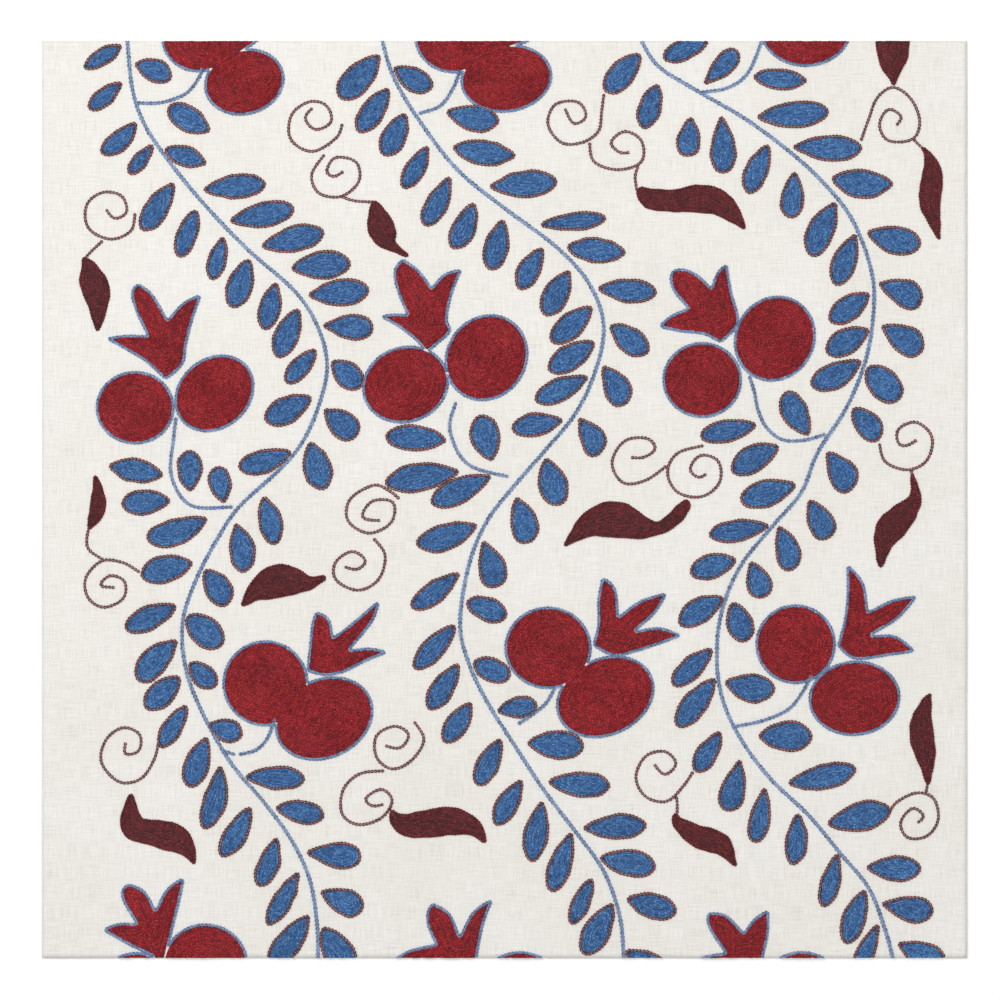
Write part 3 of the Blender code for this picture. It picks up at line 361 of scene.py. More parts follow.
# The curling tendrils, from their outer ends inwards, each with the short stretch that joins it to a leaf,
# where it has one: (x, y).
TENDRILS = (
    ((51.2, 410.6), (48.9, 400.8), (37.4, 396.3), (25.4, 402.6), (24.5, 415), (32.9, 422), (43.6, 420.4),
     (46.7, 411.5), (40, 407.7), (35.3, 412.8)),
    ((33.4, 395.5), (26.7, 389.2), (23.3, 385.2)),
    ((165.5, 460), (162.4, 452.4), (149, 444.6), (137, 451.5), (137.5, 464.8), (147.2, 472.1),
     (156.6, 470.2), (159.5, 461.3), (150.8, 456.7), (145, 463.1), (149, 468.7)),
    ((155.7, 443), (148.6, 431.9), (152.6, 421.7), (165, 419.9), (174.8, 428.4), (173, 439),
     (161.5, 441.3), (156.9, 433.7), (161, 430.8), (166.1, 433.7)),
    ((165, 419.9), (172, 417.5), (183, 416.8)),
    ((309.8, 476.4), (308.5, 466.6), (306.9, 456), (298, 449.7), (286.5, 449.5), (278.9, 459.5),
     (282.9, 470.6), (295.4, 472), (300, 464), (293.1, 460), (288.3, 468.4)),
    ((301.9, 449.7), (304.3, 439), (317.6, 434.6), (330.5, 439), (330.5, 450.6), (321.2, 455.8),
     (313.6, 449.7), (318.5, 444.2), (323.8, 444.2)),
    ((328.7, 436.8), (327, 431), (328, 423)),
    ((451.5, 450.6), (456, 463.1), (460.4, 474.2), (469.3, 480.1), (479.1, 473.7), (484, 461.3),
     (480, 451.5), (466.6, 450.6), (461.7, 459.5), (466.6, 468), (473.8, 464), (471.1, 459.1)),
    ((480.5, 451.3), (486, 446)),
    ((197.1, 253.1), (190.8, 258), (182.8, 260.7), (169.9, 253.1), (168.6, 241.1), (180.2, 234.2),
     (192.6, 240.2), (193.5, 251.3), (181.9, 251.8), (176.6, 242.9), (186.4, 241.1)),
    ((182.8, 231.3), (189.2, 222), (185.5, 208.6), (173.9, 202.7), (161.9, 208.6), (161.9, 218.4),
     (171.3, 224.2), (178.4, 218.9), (173.5, 214.2), (166.8, 215.7)),
    ((344.3, 271.3), (332.7, 263.3), (320.3, 262), (314.2, 273.1), (321.2, 285.1), (333.6, 286.5),
     (338.1, 280.7), (331.5, 276), (324.7, 276)),
    ((364.8, 282.5), (350.3, 278.3), (344.8, 267.8), (350.5, 256.7), (363.9, 254.4), (373.7, 262.4),
     (372.8, 274), (363, 277.1), (357.2, 269.6), (362, 264.9), (366.1, 266.9)),
    ((461.7, 283.8), (464.9, 273.6), (477.3, 269.1), (488, 274.5), (490.7, 287.4), (481.8, 295.4),
     (472, 291.4), (472.4, 283.4), (477.3, 282.7), (482.2, 285.6)),
    ((479.1, 269), (481.5, 262)),
    ((53.8, 212.6), (44.5, 218), (32.9, 218.9), (24, 209.5), (25.4, 198.4), (34.3, 193.3), (44.9, 198.4),
     (45.4, 207.7), (37.4, 210.8), (32, 205.5), (40, 204.2)),
    ((26, 238), (24.5, 230), (26.2, 224.6), (33.8, 219.5)),
    ((64.1, 117.9), (61.4, 108.5), (54.3, 98.7), (42.7, 97), (32.7, 107.6), (35.1, 120.1), (44.5, 127),
     (53.8, 123.2), (53.4, 114.3), (45.8, 112.4), (46.1, 118.8)),
    ((205.1, 130.3), (210.6, 120.5), (204.2, 109.4), (193.5, 104.1), (184.6, 110.3), (184.2, 122.3),
     (194.4, 127.8), (202.2, 123.2), (197.5, 115.8), (189.2, 117)),
    ((188.6, 103.2), (174.8, 101.4), (165.9, 92.5), (165.5, 79.2), (174.8, 73.4), (187.3, 77.4),
     (193.1, 86.7), (187.3, 93), (178.4, 88.1), (182, 83.8), (188.2, 84.7)),
    ((191.3, 82.7), (195, 77)),
    ((359, 102.7), (353.2, 94.3), (344.3, 86.3), (332.7, 89), (327.4, 99.6), (332.7, 111.2),
     (343.4, 113.9), (349.6, 107.2), (343.4, 101), (337.5, 106.8)),
    ((349.6, 89), (350.3, 84.5), (350, 78)),
    ((467.5, 80.5), (471.1, 85.8), (481.8, 91), (491.5, 88.1), (494.2, 76.5), (488, 67.2), (477.3, 66.3),
     (473.3, 74.7), (480, 82.6), (486.2, 78.3), (482.7, 74.5)),
    ((487.3, 91.2), (488.5, 97)),
)


# Soft puckers of the cloth: a place, half sizes along and across, the turn of the long side in degrees
# from +Y, and the height, in mm.
Pucker = namedtuple("Pucker", "x y along across turn height")
PUCKERS = tuple(Pucker(*row) for row in (
    (333, 393, 22, 3.5, 2, 0.30),
    (341, 388, 20, 3.0, -3, -0.22),
    (306, 212, 20, 3.5, 3, 0.26),
    (318, 209, 18, 4.0, -2, -0.20),
    (370, 440, 12, 3.5, 0, 0.22),
    (392, 470, 12, 4.0, 5, 0.22),
    (480, 428, 22, 3.5, 0, 0.26),
    (498, 400, 40, 5.0, -2, 0.22),
    (13, 300, 60, 5.0, 0, 0.24),
    (16, 120, 50, 5.0, 2, -0.24),
    (120, 320, 30, 7.0, -12, 0.22),
    (178, 330, 40, 7.0, 4, -0.20),
    (190, 220, 30, 6.0, 3, 0.22),
    (200, 40, 30, 7.0, 0, 0.22),
    (343, 130, 40, 6.0, -4, 0.22),
    (300, 330, 30, 7.0, 8, -0.18),
    (418, 350, 30, 7.0, -8, 0.22),
    (474, 350, 26, 5.0, 4, -0.22),
    (60, 60, 26, 7.0, 0, 0.18),
    (120, 470, 36, 7.0, -5, 0.20),
    (300, 425, 26, 7.0, 4, 0.20),
    (500, 180, 60, 5.0, 1, 0.22),
    (262, 330, 26, 6.0, 0, 0.18),
    (165, 500, 18, 6.0, 0, 0.20),
))
SWELLS = ((71, 0.09, 0.3), (43, 0.06, 2.1), (26, 0.04, 4.4))  # wave length, height and phase


def surface(x, y):
    """The height of the cotton's upper face, in mm."""
    height = np.full(np.shape(x), CLOTH_LEVEL)
    for pucker in PUCKERS:
        turn = math.radians(pucker.turn)
        dx, dy = x - pucker.x, y - pucker.y
        along = -dx * math.sin(turn) + dy * math.cos(turn)
        across = dx * math.cos(turn) + dy * math.sin(turn)
        height += pucker.height * np.exp(-(along / pucker.along) ** 2 - (across / pucker.across) ** 2)
    for wave, swell, phase in SWELLS:
        height += swell * np.sin(2 * math.pi * x / wave + phase) * np.cos(0.7 * math.pi * y / wave + phase)
    return height


def through(rows, steps):
    """Points on a smooth curve through the rows, whose later columns, such as a half width, follow along."""
    rows = np.array(rows, float)
    points = []
    for k in range(len(rows) - 1):
        before = rows[max(k - 1, 0)]
        start, end = rows[k], rows[k + 1]
        after = rows[min(k + 2, len(rows) - 1)]
        for step in range(steps):
            t = step / steps
            points.append(0.5 * (2 * start + (end - before) * t
                                 + (2 * before - 5 * start + 4 * end - after) * t ** 2
                                 + (3 * start - before - 3 * end + after) * t ** 3))
    return np.array(points + [rows[-1]])


def ribbon(rows, steps):
    """The outline of a strip along (x, y, half width) rows."""
    spine = through(rows, steps)
    ahead = np.gradient(spine[:, :2], axis=0)
    across = np.stack((-ahead[:, 1], ahead[:, 0]), 1) / np.linalg.norm(ahead, axis=1)[:, None]
    across *= spine[:, 2:3]
    return np.concatenate((spine[:, :2] + across, (spine[:, :2] - across)[::-1]))


def leaf_outline(leaf):
    """A leaf's edge, up one side from its tip and back along the other."""
    rise, fall = LEAF_KINDS[leaf.kind]
    widest = rise / (rise + fall)
    greatest = widest ** rise * (1 - widest) ** fall
    tip, end = np.array((leaf.tip_x, leaf.tip_y)), np.array((leaf.end_x, leaf.end_y))
    along = end - tip
    across = np.array((-along[1], along[0])) / np.linalg.norm(along)
    u = ((1 - np.cos(np.linspace(0, math.pi, LEAF_STEPS)[1:-1])) / 2)[:, None]
    half = across * leaf.width / 2 * u ** rise * (1 - u) ** fall / greatest
    spine = tip + along * u + across * leaf.bow * 4 * u * (1 - u)
    return np.concatenate(([tip], spine + half, [end], (spine - half)[::-1]))


def lobe_outline(lobe):
    """A tilted ellipse."""
    turn = np.linspace(0, 2 * math.pi, LOBE_STEPS, endpoint=False)
    tilt = math.radians(lobe.tilt)
    along, across = lobe.half_length * np.cos(turn), lobe.half_width * np.sin(turn)
    return np.stack((lobe.x + along * math.cos(tilt) - across * math.sin(tilt),
                     lobe.y + along * math.sin(tilt) + across * math.cos(tilt)), 1)


def crown_outline(sides):
    """A crown's edge: each side is a smooth curve that ends in the next side's corner."""
    pieces = []
    for k, side in enumerate(sides):
        corner = sides[(k + 1) % len(sides)][0]
        pieces.append(through(side + (corner,), CROWN_STEPS)[:-1])
    return np.concatenate(pieces)


LEAF_STEPS = 22
LOBE_STEPS = 60
CROWN_STEPS = 5
RIBBON_STEPS = 5

# Distances from outlines, on grids. They are negative inside.
Grid = namedtuple("Grid", "x y")


def grid_about(outlines, margin=1.5):
    """A grid that covers the outlines and a margin round them, as far as they lie near the cloth."""
    points = np.concatenate(outlines)
    low = np.maximum(points.min(0), (-6, -6)) - margin
    high = np.minimum(points.max(0), (WIDTH + 6, LENGTH + 6)) + margin
    return Grid(np.arange(low[0], high[0], GRID), np.arange(low[1], high[1], GRID))


def distances(grid, outline):
    """How far each place of the grid is from the outline."""
    x, y = np.meshgrid(grid.x, grid.y)
    nearest = np.full(x.shape, np.inf)
    inside = np.zeros(x.shape, bool)
    for (ax, ay), (bx, by) in zip(outline, np.roll(outline, -1, axis=0)):
        ux, uy = bx - ax, by - ay
        share = np.clip(((x - ax) * ux + (y - ay) * uy) / max(ux * ux + uy * uy, 1e-9), 0, 1)
        nearest = np.minimum(nearest, (x - ax - share * ux) ** 2 + (y - ay - share * uy) ** 2)
        if ay != by:
            crosses = ((ay > y) != (by > y)) & (x < ax + (y - ay) / (by - ay) * ux)
            inside ^= crosses
    return np.where(inside, -1, 1) * np.sqrt(nearest)


def unevenness(grid, amount, wave):
    """A slow random wobble, so that no two rows are quite parallel."""
    x, y = np.meshgrid(grid.x, grid.y)
    wobble = np.zeros(x.shape)
    for _ in range(4):
        turn, phase = chance.uniform(0, 2 * math.pi, 2)
        length = wave * chance.uniform(0.7, 1.6)
        wobble += np.sin(2 * math.pi * (x * math.cos(turn) + y * math.sin(turn)) / length + phase)
    return wobble * amount / 2


def sample(grid, values, x, y):
    """The grid's values at any places, read between its points."""
    u = np.clip((x - grid.x[0]) / GRID, 0, len(grid.x) - 1.001)
    v = np.clip((y - grid.y[0]) / GRID, 0, len(grid.y) - 1.001)
    i, j = u.astype(int), v.astype(int)
    u, v = u - i, v - j
    return ((values[j, i] * (1 - u) + values[j, i + 1] * u) * (1 - v)
            + (values[j + 1, i] * (1 - u) + values[j + 1, i + 1] * u) * v)


# A cell's corners below the level add 1, 2, 4 and 8, counterclockwise from its low corner. The line
# passes from the first side to the second, with the low side on its left.
BOTTOM, RIGHT, TOP, LEFT = range(4)
CELL_LINES = {1: ((BOTTOM, LEFT),), 2: ((RIGHT, BOTTOM),), 3: ((RIGHT, LEFT),), 4: ((TOP, RIGHT),),
              5: ((BOTTOM, LEFT), (TOP, RIGHT)), 6: ((TOP, BOTTOM),), 7: ((TOP, LEFT),),
              8: ((LEFT, TOP),), 9: ((BOTTOM, TOP),), 10: ((RIGHT, BOTTOM), (LEFT, TOP)),
              11: ((RIGHT, TOP),), 12: ((LEFT, RIGHT),), 13: ((BOTTOM, RIGHT),), 14: ((LEFT, BOTTOM),)}


def contours(grid, values, level):
    """The closed lines on which the grid's values equal the level, or run round the grid's rim."""
    values = np.pad(values[1:-1, 1:-1], 1, constant_values=level + 1)
    low = values < level
    code = (low[:-1, :-1] * 1 + low[:-1, 1:] * 2 + low[1:, 1:] * 4 + low[1:, :-1] * 8)
    follows = {}
    for j, i in zip(*np.nonzero((code > 0) & (code < 15))):
        sides = {BOTTOM: (0, j, i), TOP: (0, j + 1, i), LEFT: (1, j, i), RIGHT: (1, j, i + 1)}
        for first, second in CELL_LINES[code[j, i]]:
            follows[sides[first]] = sides[second]
    loops = []
    while follows:
        start = next(iter(follows))
        loop, here = [], start
        while here in follows:
            loop.append(here)
            here = follows.pop(here)
        if here == start and len(loop) > 4:
            loops.append(np.array([crossing(grid, values, level, *side) for side in loop]))
    return loops


def crossing(grid, values, level, upright, j, i):
    """Where the level lies on one side of a cell."""
    start, end = values[j, i], (values[j + 1, i] if upright else values[j, i + 1])
    share = (level - start) / (end - start)
    if upright:
        return grid.x[i], grid.y[j] + share * GRID
    return grid.x[i] + share * GRID, grid.y[j]


class Silk:
    """Stitches gathered for one piece, as rows of x, y, dx, dy, width, height and lift, in mm."""

    def __init__(self):
        self.rows = []

    def add_row(self, path, stitch, closed=False, keep=None, lift=0.0):
        """Works a row of chain stitch along a path, where keep allows it."""
        path = np.asarray(path, float)[:, :2]
        if closed:
            path = np.concatenate((path, path[:1]))
        reach = np.concatenate(([0], np.cumsum(np.linalg.norm(np.diff(path, axis=0), axis=1))))
        total = reach[-1]
        count = max(2 if closed else 1, round(total / stitch.length))
        marks = np.arange(count) * total / count
        if closed:
            marks = (marks + chance.uniform(0, total)) % total
        ends = marks + total / count
        if closed:
            ends %= total
        start = np.stack([np.interp(marks, reach, path[:, k]) for k in (0, 1)], 1)
        end = np.stack([np.interp(ends, reach, path[:, k]) for k in (0, 1)], 1)
        middle = (start + end) / 2
        allowed = on_cloth(*middle.T)
        if keep is not None:
            allowed &= keep(*middle.T)
        start, end = start[allowed], end[allowed]
        count = len(start)
        start = start + chance.normal(0, 0.05, (count, 2))
        width = stitch.width * chance.uniform(0.90, 1.10, count)
        height = stitch.height * chance.uniform(0.88, 1.10, count)
        self.rows.append(np.column_stack((start, end - start, width, height, np.full(count, lift))))

    def stitches(self):
        return np.concatenate(self.rows)


def on_cloth(x, y):
    reach = 0.5
    return (x > -reach) & (x < WIDTH + reach) & (y > -reach) & (y < LENGTH + reach)


# One strand of a stitch: how far along the stitch each station is, how far from its middle line as a
# share of its width, and the strand's own half width there.
STATIONS = ((-0.10, 0.05, 0.0), (0.28, 0.22, 0.20), (0.72, 0.27, 0.20), (1.14, 0.10, 0.0))
TIP_RISE = 0.45  # a strand's tips, as a share of its ridge's height
STRAND_POINTS = 8
STRAND_FACES = np.array(((0, 2, 1), (0, 3, 2), (2, 5, 1), (5, 4, 1), (3, 6, 2), (6, 5, 2), (5, 7, 4),
                         (6, 7, 5)))


def strand_template(side):
    """A strand's points as shares of the stitch's length, width and height."""
    (s0, c0, _), (s1, c1, w1), (s2, c2, w2), (s3, c3, _) = STATIONS
    return np.array(((s0, side * c0, TIP_RISE),
                     (s1, side * (c1 + w1), 0), (s1, side * c1, 1), (s1, side * (c1 - w1), 0.1),
                     (s2, side * (c2 + w2), 0), (s2, side * c2, 1), (s2, side * (c2 - w2), 0.1),
                     (s3, side * c3, TIP_RISE)))


def silk_mesh(name, stitches):
    """All the strands of a piece's stitches, lying on the cloth."""
    template = np.concatenate((strand_template(1), strand_template(-1)))
    faces = np.concatenate((STRAND_FACES, STRAND_FACES[:, ::-1] + STRAND_POINTS))
    x, y, dx, dy, width, height, lift = (column[:, None] for column in stitches.T)
    length = np.hypot(dx, dy)
    along, across, rise = template.T
    px = x + along * dx - across * width * dy / length
    py = y + along * dy + across * width * dx / length
    px, py = np.clip(px, 0, WIDTH), np.clip(py, 0, LENGTH)
    pz = surface(px, py) + lift + rise * height
    count = len(stitches)
    points = np.stack((px, py, pz), 2).reshape(-1, 3)
    triangles = (faces[None] + np.arange(count)[:, None, None] * len(template)).reshape(-1, 3)
    tone = np.clip(chance.normal(0.5, 0.22, (count, 2)), 0, 1)
    tone = np.repeat(tone, STRAND_POINTS, axis=1).ravel()
    # The ridge values, each point's height on its strand, drive the painted shade in the silk materials.
    return make_mesh(name, points, triangles, {"tone": tone, "ridge": np.tile(rise, count)})


def make_mesh(name, points, triangles, attributes):
    """A smooth mesh from places in mm and triangles, with values on its points."""
    mesh = bpy.data.meshes.new(name)
    world = points * MM + (CLOTH_LOW.x, CLOTH_LOW.y, 0)
    mesh.vertices.add(len(world))
    mesh.vertices.foreach_set("co", world.ravel())
    mesh.loops.add(triangles.size)
    mesh.loops.foreach_set("vertex_index", triangles.ravel())
    mesh.polygons.add(len(triangles))
    mesh.polygons.foreach_set("loop_start", np.arange(0, triangles.size, 3))
    mesh.polygons.foreach_set("use_smooth", np.ones(len(triangles), bool))
    mesh.update(calc_edges=True)
    for key, values in attributes.items():
        mesh.attributes.new(key, "FLOAT", "POINT").data.foreach_set("value", np.asarray(values, float))
    return mesh


def add_piece(mesh, material):
    """A piece of the object, which moves with its one body."""
    mesh.materials.append(material)
    piece = bpy.data.objects.new(mesh.name, mesh)
    bpy.context.scene.collection.objects.link(piece)
    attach(piece, "root")
    return piece


class Bed:
    """The ground of silk under filled shapes, which hides the cloth there and is coloured dark as painted shade
    between the stitches: low domes, gathered for one piece.
    """

    def __init__(self):
        self.points, self.triangles, self.count = [], [], 0

    def add_shape(self, outline, step=2.0):
        """A dome over the inside of an outline, in mm."""
        outline = thin_out(outline, 0.9)
        outline = np.clip(outline, 0, (WIDTH, LENGTH))
        low, high = outline.min(0), outline.max(0)
        if min(high - low) < 0.5:
            return
        gx, gy = np.meshgrid(np.arange(low[0] + step / 2, high[0], step),
                             np.arange(low[1] + step / 2, high[1], step))
        grid = Grid(gx[0], gy[:, 0])
        inner = distances(grid, outline) < -0.6 * step
        inner_points = np.stack((gx[inner], gy[inner]), 1)
        count = len(outline)
        edges = [(k, (k + 1) % count) for k in range(count)]
        places = [Vector(p) for p in np.concatenate((outline, inner_points))]
        flat, _, faces, origins, _, _ = delaunay_2d_cdt(places, edges, [list(range(count))], 1, 1e-4)
        flat = np.array([tuple(p) for p in flat])
        rim = np.array([any(k < count for k in origin) for origin in origins])
        height = surface(*flat.T) + np.where(rim, 0.02, BED_LIFT)
        self.points.append(np.column_stack((flat, height)))
        self.triangles.append(np.array(faces) + self.count)
        self.count += len(flat)

    def mesh(self, name):
        return make_mesh(name, np.concatenate(self.points), np.concatenate(self.triangles), {})


def thin_out(path, spacing):
    """A closed path with evenly spaced points."""
    closed = np.concatenate((path, path[:1]))
    reach = np.concatenate(([0], np.cumsum(np.linalg.norm(np.diff(closed, axis=0), axis=1))))
    marks = np.linspace(0, reach[-1], max(6, round(reach[-1] / spacing)), endpoint=False)
    return np.stack([np.interp(marks, reach, closed[:, k]) for k in (0, 1)], 1)


def levels(deepest, first):
    """Insets of rows from the first to the middle, about a pitch apart."""
    depth = -deepest - first
    if depth < 0.1:
        return []
    count = max(1, round(depth / FILL_PITCH + 0.35))
    pitch = depth / max(count - 0.35, 0.65)
    return [-(first + pitch * k) for k in range(count)]


# Materials


def node(tree, kind, inputs=None, **settings):
    """A shader node with its settings and its inputs, each a value or another node's output."""
    made = tree.nodes.new(kind)
    for key, value in settings.items():
        setattr(made, key, value)
    for key, value in (inputs or {}).items():
        if isinstance(value, bpy.types.NodeSocket):
            tree.links.new(value, made.inputs[key])
        else:
            made.inputs[key].default_value = value
    return made


def ramp(tree, factor, stops):
    """A colour ramp: each stop is a place and a colour."""
    made = node(tree, "ShaderNodeValToRGB", {"Fac": factor})
    elements = made.color_ramp.elements
    while len(elements) < len(stops):
        elements.new(0.5)
    for element, (place, colour) in zip(elements, stops):
        element.position = place
        element.color = (*colour, 1)
    return made.outputs["Color"]


def mixed(tree, kind, factor, first, second):
    """Two colours mixed."""
    made = node(tree, "ShaderNodeMix", data_type="RGBA", blend_type=kind)
    for socket, value in ((made.inputs[0], factor), (made.inputs[6], first), (made.inputs[7], second)):
        if isinstance(value, bpy.types.NodeSocket):
            tree.links.new(value, socket)
        else:
            socket.default_value = value
    return made.outputs[2]


def new_material(name):
    material = bpy.data.materials.new(name)
    material.use_nodes = True
    return material, material.node_tree, material.node_tree.nodes["Principled BSDF"]


def silk_material(name, dark, middle, light, roughness=0.5):
    """Silk chain stitch: each strand has its own tone, with painted shade darkening it where it dips into the
    cloth.
    """
    material, tree, shader = new_material(name)
    place = node(tree, "ShaderNodeTexCoord").outputs["Object"]
    tone = node(tree, "ShaderNodeAttribute", attribute_name="tone").outputs["Fac"]
    ridge = node(tree, "ShaderNodeAttribute", attribute_name="ridge").outputs["Fac"]
    colour = ramp(tree, tone, ((0.1, dark), (0.5, middle), (0.95, light)))
    # Painted shade: each strand darkens from its ridge down to its feet, as if shaded by the stitches beside it.
    shade = ramp(tree, ridge, ((0.0, (0.34, 0.34, 0.34)), (0.55, (0.85, 0.85, 0.85)), (1.0, (1, 1, 1))))
    colour = mixed(tree, "MULTIPLY", 1.0, colour, shade)
    dye = node(tree, "ShaderNodeTexNoise", {"Vector": place, "Scale": 55.0, "Detail": 3.0})
    dye_tone = ramp(tree, dye.outputs["Fac"], ((0.3, (0.86, 0.86, 0.86)), (0.7, (1.08, 1.08, 1.08))))
    colour = mixed(tree, "MULTIPLY", 1.0, colour, dye_tone)
    tree.links.new(colour, shader.inputs["Base Color"])
    fibre = node(tree, "ShaderNodeTexNoise", {"Vector": place, "Scale": 3200.0, "Detail": 2.0})
    bump = node(tree, "ShaderNodeBump", {"Height": fibre.outputs["Fac"], "Strength": 0.35,
                                         "Distance": 0.0001})
    tree.links.new(bump.outputs["Normal"], shader.inputs["Normal"])
    shader.inputs["Roughness"].default_value = roughness
    shader.inputs["Sheen Weight"].default_value = 0.15
    shader.inputs["Specular IOR Level"].default_value = 0.35
    return material


def bed_material(name, dark, light):
    """The silk between the stitches, coloured dark as painted shade."""
    material, tree, shader = new_material(name)
    place = node(tree, "ShaderNodeTexCoord").outputs["Object"]
    grain = node(tree, "ShaderNodeTexNoise", {"Vector": place, "Scale": 900.0, "Detail": 2.0})
    colour = ramp(tree, grain.outputs["Fac"], ((0.35, dark), (0.65, light)))
    tree.links.new(colour, shader.inputs["Base Color"])
    shader.inputs["Roughness"].default_value = 0.8
    return material


def cotton_material():
    """Off-white plain weave: uneven threads both ways, with slubs and a few faint stains."""
    material, tree, shader = new_material("cotton")
    place = node(tree, "ShaderNodeTexCoord").outputs["Object"]
    threads = []
    for stretch in ((2100.0, 90.0, 90.0), (90.0, 2100.0, 90.0)):
        stretched = node(tree, "ShaderNodeMapping", {"Vector": place, "Scale": stretch}).outputs["Vector"]
        threads.append(node(tree, "ShaderNodeTexNoise", {"Vector": stretched, "Scale": 1.0, "Detail": 2.0})
                       .outputs["Fac"])
    weave = node(tree, "ShaderNodeMath", {0: threads[0], 1: threads[1]}, operation="ADD").outputs[0]
    colour = ramp(tree, node(tree, "ShaderNodeMath", {0: weave, 1: 0.5}, operation="MULTIPLY").outputs[0],
                  ((0.32, (0.66, 0.64, 0.60)), (0.5, (0.775, 0.755, 0.715)), (0.68, (0.84, 0.825, 0.79))))
    cloud = node(tree, "ShaderNodeTexNoise", {"Vector": place, "Scale": 14.0, "Detail": 3.0})
    tint = ramp(tree, cloud.outputs["Fac"], ((0.35, (0.97, 0.965, 0.95)), (0.65, (1.0, 1.0, 1.0))))
    colour = mixed(tree, "MULTIPLY", 1.0, colour, tint)
    tree.links.new(colour, shader.inputs["Base Color"])
    bump = node(tree, "ShaderNodeBump", {"Height": weave, "Strength": 0.5, "Distance": 0.0002})
    tree.links.new(bump.outputs["Normal"], shader.inputs["Normal"])
    shader.inputs["Roughness"].default_value = 0.9
    shader.inputs["Sheen Weight"].default_value = 0.1
    return material


def make_cotton():
    """The cloth: a thin closed sheet with soft puckers."""
    across = np.linspace(0, WIDTH, round(WIDTH / CLOTH_GRID) + 1)
    along = np.linspace(0, LENGTH, round(LENGTH / CLOTH_GRID) + 1)
    x, y = np.meshgrid(across, along)
    top = surface(x, y)
    layers = [np.stack((x, y, top), 2).reshape(-1, 3), np.stack((x, y, top - CLOTH_THICKNESS), 2).reshape(-1, 3)]
    columns, rows = len(across), len(along)
    number = np.arange(columns * rows).reshape(rows, columns)
    a, b, c, d = (part.ravel() for part in (number[:-1, :-1], number[:-1, 1:], number[1:, 1:],
                                            number[1:, :-1]))
    upper = np.concatenate((np.stack((a, b, c), 1), np.stack((a, c, d), 1)))
    lower = upper[:, ::-1] + columns * rows
    rim = np.concatenate((number[0, :], number[1:, -1], number[-1, -2::-1], number[-2:0:-1, 0]))
    after = np.roll(rim, -1)
    below = columns * rows
    sides = np.concatenate((np.stack((rim, rim + below, after + below), 1),
                            np.stack((rim, after + below, after), 1)))
    triangles = np.concatenate((upper, lower, sides))
    mesh = make_mesh("cotton_cloth", np.concatenate(layers), triangles, {})
    cloth = add_piece(mesh, cotton_material())
    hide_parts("cloth")


BLUE_FILL = silk_material("blue_silk_fill", (0.020, 0.085, 0.26), (0.075, 0.25, 0.56), (0.20, 0.46, 0.80))
BLUE_LINE = silk_material("blue_silk_line", (0.06, 0.14, 0.32), (0.15, 0.28, 0.55), (0.32, 0.47, 0.74))
RED_FILL = silk_material("red_silk_fill", (0.20, 0.003, 0.008), (0.52, 0.010, 0.022), (0.74, 0.045, 0.055))
MAROON_FILL = silk_material("maroon_silk_fill", (0.07, 0.006, 0.011), (0.20, 0.016, 0.022), (0.36, 0.040, 0.042))
MAROON_LINE = silk_material("maroon_silk_line", (0.06, 0.007, 0.012), (0.17, 0.018, 0.026), (0.33, 0.05, 0.06))
# The grounds' colours are painted shade: the gaps between the stitches drawn dark.
BLUE_BED_PAINTED_SHADE = bed_material("blue_silk_ground_painted_shade", (0.012, 0.045, 0.15), (0.03, 0.10, 0.28))
RED_BED_PAINTED_SHADE = bed_material("red_silk_ground_painted_shade", (0.07, 0.001, 0.003), (0.16, 0.003, 0.006))
MAROON_BED_PAINTED_SHADE = bed_material("maroon_silk_ground_painted_shade", (0.025, 0.002, 0.004), (0.06, 0.005, 0.008))


def make_leaves(side, leaves):
    """The leaves on one side of a vine: blue fill in a maroon outline."""
    fill, line, bed = Silk(), Silk(), Bed()
    for leaf in leaves:
        outline = leaf_outline(leaf)
        grid = grid_about([outline])
        depth = distances(grid, outline) + unevenness(grid, 0.22, 9)
        for loop in contours(grid, depth, -OUTLINE_WIDTH / 2):
            line.add_row(loop, OUTLINE, closed=True, lift=0.05)
        first = OUTLINE_WIDTH + FILL_PITCH * 0.42
        for level in levels(depth.min(), first):
            for loop in contours(grid, depth, level):
                fill.add_row(loop, FILL, closed=True)
        for loop in contours(grid, depth, -OUTLINE_WIDTH * 0.85):
            bed.add_shape(loop)
    add_piece(silk_mesh(f"leaves_{side}_fill", fill.stitches()), BLUE_FILL)
    add_piece(silk_mesh(f"leaves_{side}_outline", line.stitches()), MAROON_LINE)
    # The ground is dark blue as painted shade between the stitches, and hides the cloth under the fill.
    add_piece(bed.mesh(f"leaves_{side}_ground"), BLUE_BED_PAINTED_SHADE)


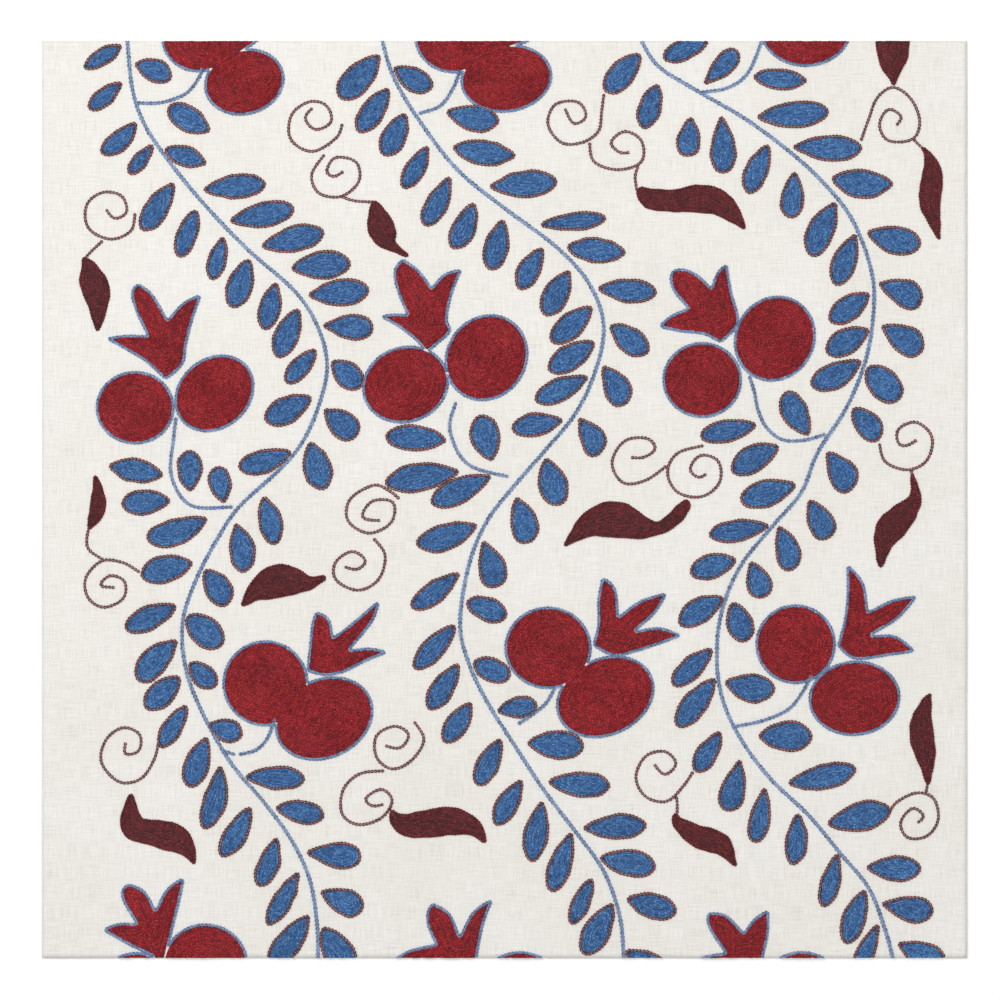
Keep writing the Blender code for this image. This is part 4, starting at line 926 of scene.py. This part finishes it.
def make_pomegranate(number, fruit):
    """A red fruit of one or two lobes and a crown of petals, in a blue outline."""
    outlines = [lobe_outline(lobe) for lobe in fruit.lobes]
    if fruit.crown:
        outlines.append(crown_outline(fruit.crown))
    grid = grid_about(outlines)
    parts = [distances(grid, outline) for outline in outlines]
    whole = np.minimum.reduce(parts)
    lobes = parts[:len(fruit.lobes)]
    fill, line, bed = Silk(), Silk(), Bed()
    for loop in contours(grid, whole, -OUTLINE_WIDTH / 2):
        line.add_row(loop, OUTLINE, closed=True, lift=0.05)
    for k, part in enumerate(parts):
        others = [other for other in lobes if other is not part]

        def owned(x, y):
            inside = sample(grid, whole, x, y) < -OUTLINE_WIDTH - 0.25
            if k < len(lobes):
                for other in others:
                    inside &= sample(grid, part, x, y) <= sample(grid, other, x, y)
            else:
                for lobe in lobes:
                    inside &= sample(grid, lobe, x, y) > 0.2
            return inside

        depth = part + unevenness(grid, 0.18, 12)
        first = OUTLINE_WIDTH + FILL_PITCH * 0.45
        rows = levels(depth.min(), first)
        if k < len(lobes):
            rows = [-(first - FILL_PITCH)] + rows
        for level in rows:
            for loop in contours(grid, depth, level):
                fill.add_row(loop, LOBE_FILL, closed=True, keep=owned)
    for loop in contours(grid, whole, -OUTLINE_WIDTH * 0.85):
        bed.add_shape(loop)
    name = f"pomegranate_{number}"
    add_piece(silk_mesh(f"{name}_fill", fill.stitches()), RED_FILL)
    add_piece(silk_mesh(f"{name}_outline", line.stitches()), BLUE_LINE)
    # The ground is dark red as painted shade between the stitches, and hides the cloth under the fill.
    add_piece(bed.mesh(f"{name}_ground"), RED_BED_PAINTED_SHADE)


def make_vines():
    """The three vines and the stems of the fruit, each a single row of chain stitch."""
    for number, vine in enumerate(VINES, 1):
        silk = Silk()
        silk.add_row(through(vine, 6), VINE, lift=0.05)
        add_piece(silk_mesh(f"vine_{number}", silk.stitches()), BLUE_LINE)
    silk = Silk()
    for stem in STEMS:
        silk.add_row(through(stem, 6), STEM, lift=0.10)
    add_piece(silk_mesh("pomegranate_stems", silk.stitches()), BLUE_LINE)


def make_dark_leaves():
    """The solid maroon leaves between the vines."""
    fill, bed = Silk(), Bed()
    for rows in DARK_LEAVES:
        outline = ribbon(rows, RIBBON_STEPS)
        grid = grid_about([outline])
        depth = distances(grid, outline) + unevenness(grid, 0.2, 8)
        for level in levels(depth.min(), 0.7):
            for loop in contours(grid, depth, level):
                fill.add_row(loop, DARK_FILL, closed=True)
        for loop in contours(grid, depth, -0.6):
            bed.add_shape(loop)
    add_piece(silk_mesh("dark_leaves_fill", fill.stitches()), MAROON_FILL)
    # The ground is dark maroon as painted shade between the stitches, and hides the cloth under the fill.
    add_piece(bed.mesh("dark_leaves_painted_shade_ground"), MAROON_BED_PAINTED_SHADE)


def make_tendrils():
    """The curling tendrils, each a single row."""
    silk = Silk()
    for tendril in TENDRILS:
        silk.add_row(through(tendril, 6), TENDRIL, lift=0.02)
    add_piece(silk_mesh("tendrils", silk.stitches()), MAROON_LINE)


# The room: a pale floor, soft light and the camera straight above

PICTURE_WIDTH = 0.5514  # what the camera takes in across, in metres
PICTURE_CENTRE = Vector((-0.0025, -0.0003, 0.001))
LENS, SENSOR = 100.0, 36.0


def make_floor():
    bpy.ops.mesh.primitive_plane_add(size=6, location=(0, 0, -0.0003))
    floor = bpy.context.active_object
    floor.name = "floor"
    material, _, shader = new_material("floor_paint")
    shader.inputs["Base Color"].default_value = (0.97, 0.97, 0.97, 1)
    shader.inputs["Roughness"].default_value = 0.9
    floor.data.materials.append(material)


def make_camera():
    lens = bpy.data.cameras.new("camera")
    lens.lens, lens.sensor_width = LENS, SENSOR
    camera = bpy.data.objects.new("camera", lens)
    camera.location = PICTURE_CENTRE + Vector((0, 0, PICTURE_WIDTH * LENS / SENSOR))
    bpy.context.scene.collection.objects.link(camera)
    bpy.context.scene.camera = camera


def soft_light(name, place, size, power):
    """A square softbox that faces the cloth."""
    lamp = bpy.data.lights.new(name, "AREA")
    lamp.size, lamp.energy = size, power
    holder = bpy.data.objects.new(name, lamp)
    holder.location = place
    holder.rotation_euler = (-Vector(place)).to_track_quat("-Z", "Y").to_euler()
    bpy.context.scene.collection.objects.link(holder)


def make_light():
    world = bpy.data.worlds.new("studio")
    world.use_nodes = True
    background = world.node_tree.nodes["Background"]
    background.inputs["Color"].default_value = (1, 1, 1, 1)
    background.inputs["Strength"].default_value = 0.62
    bpy.context.scene.world = world
    soft_light("key_light", (-1.1, 1.1, 1.9), 1.0, 30)
    soft_light("fill_light", (1.2, 0.2, 2.0), 1.4, 10)
    bpy.context.scene.view_settings.view_transform = "Standard"


make_camera()
make_cotton()
make_vines()
for side, leaves in LEAVES.items():
    make_leaves(side, leaves)
make_dark_leaves()
make_tendrils()
for number, fruit in enumerate(POMEGRANATES, 1):
    make_pomegranate(number, fruit)
make_floor()
make_light()
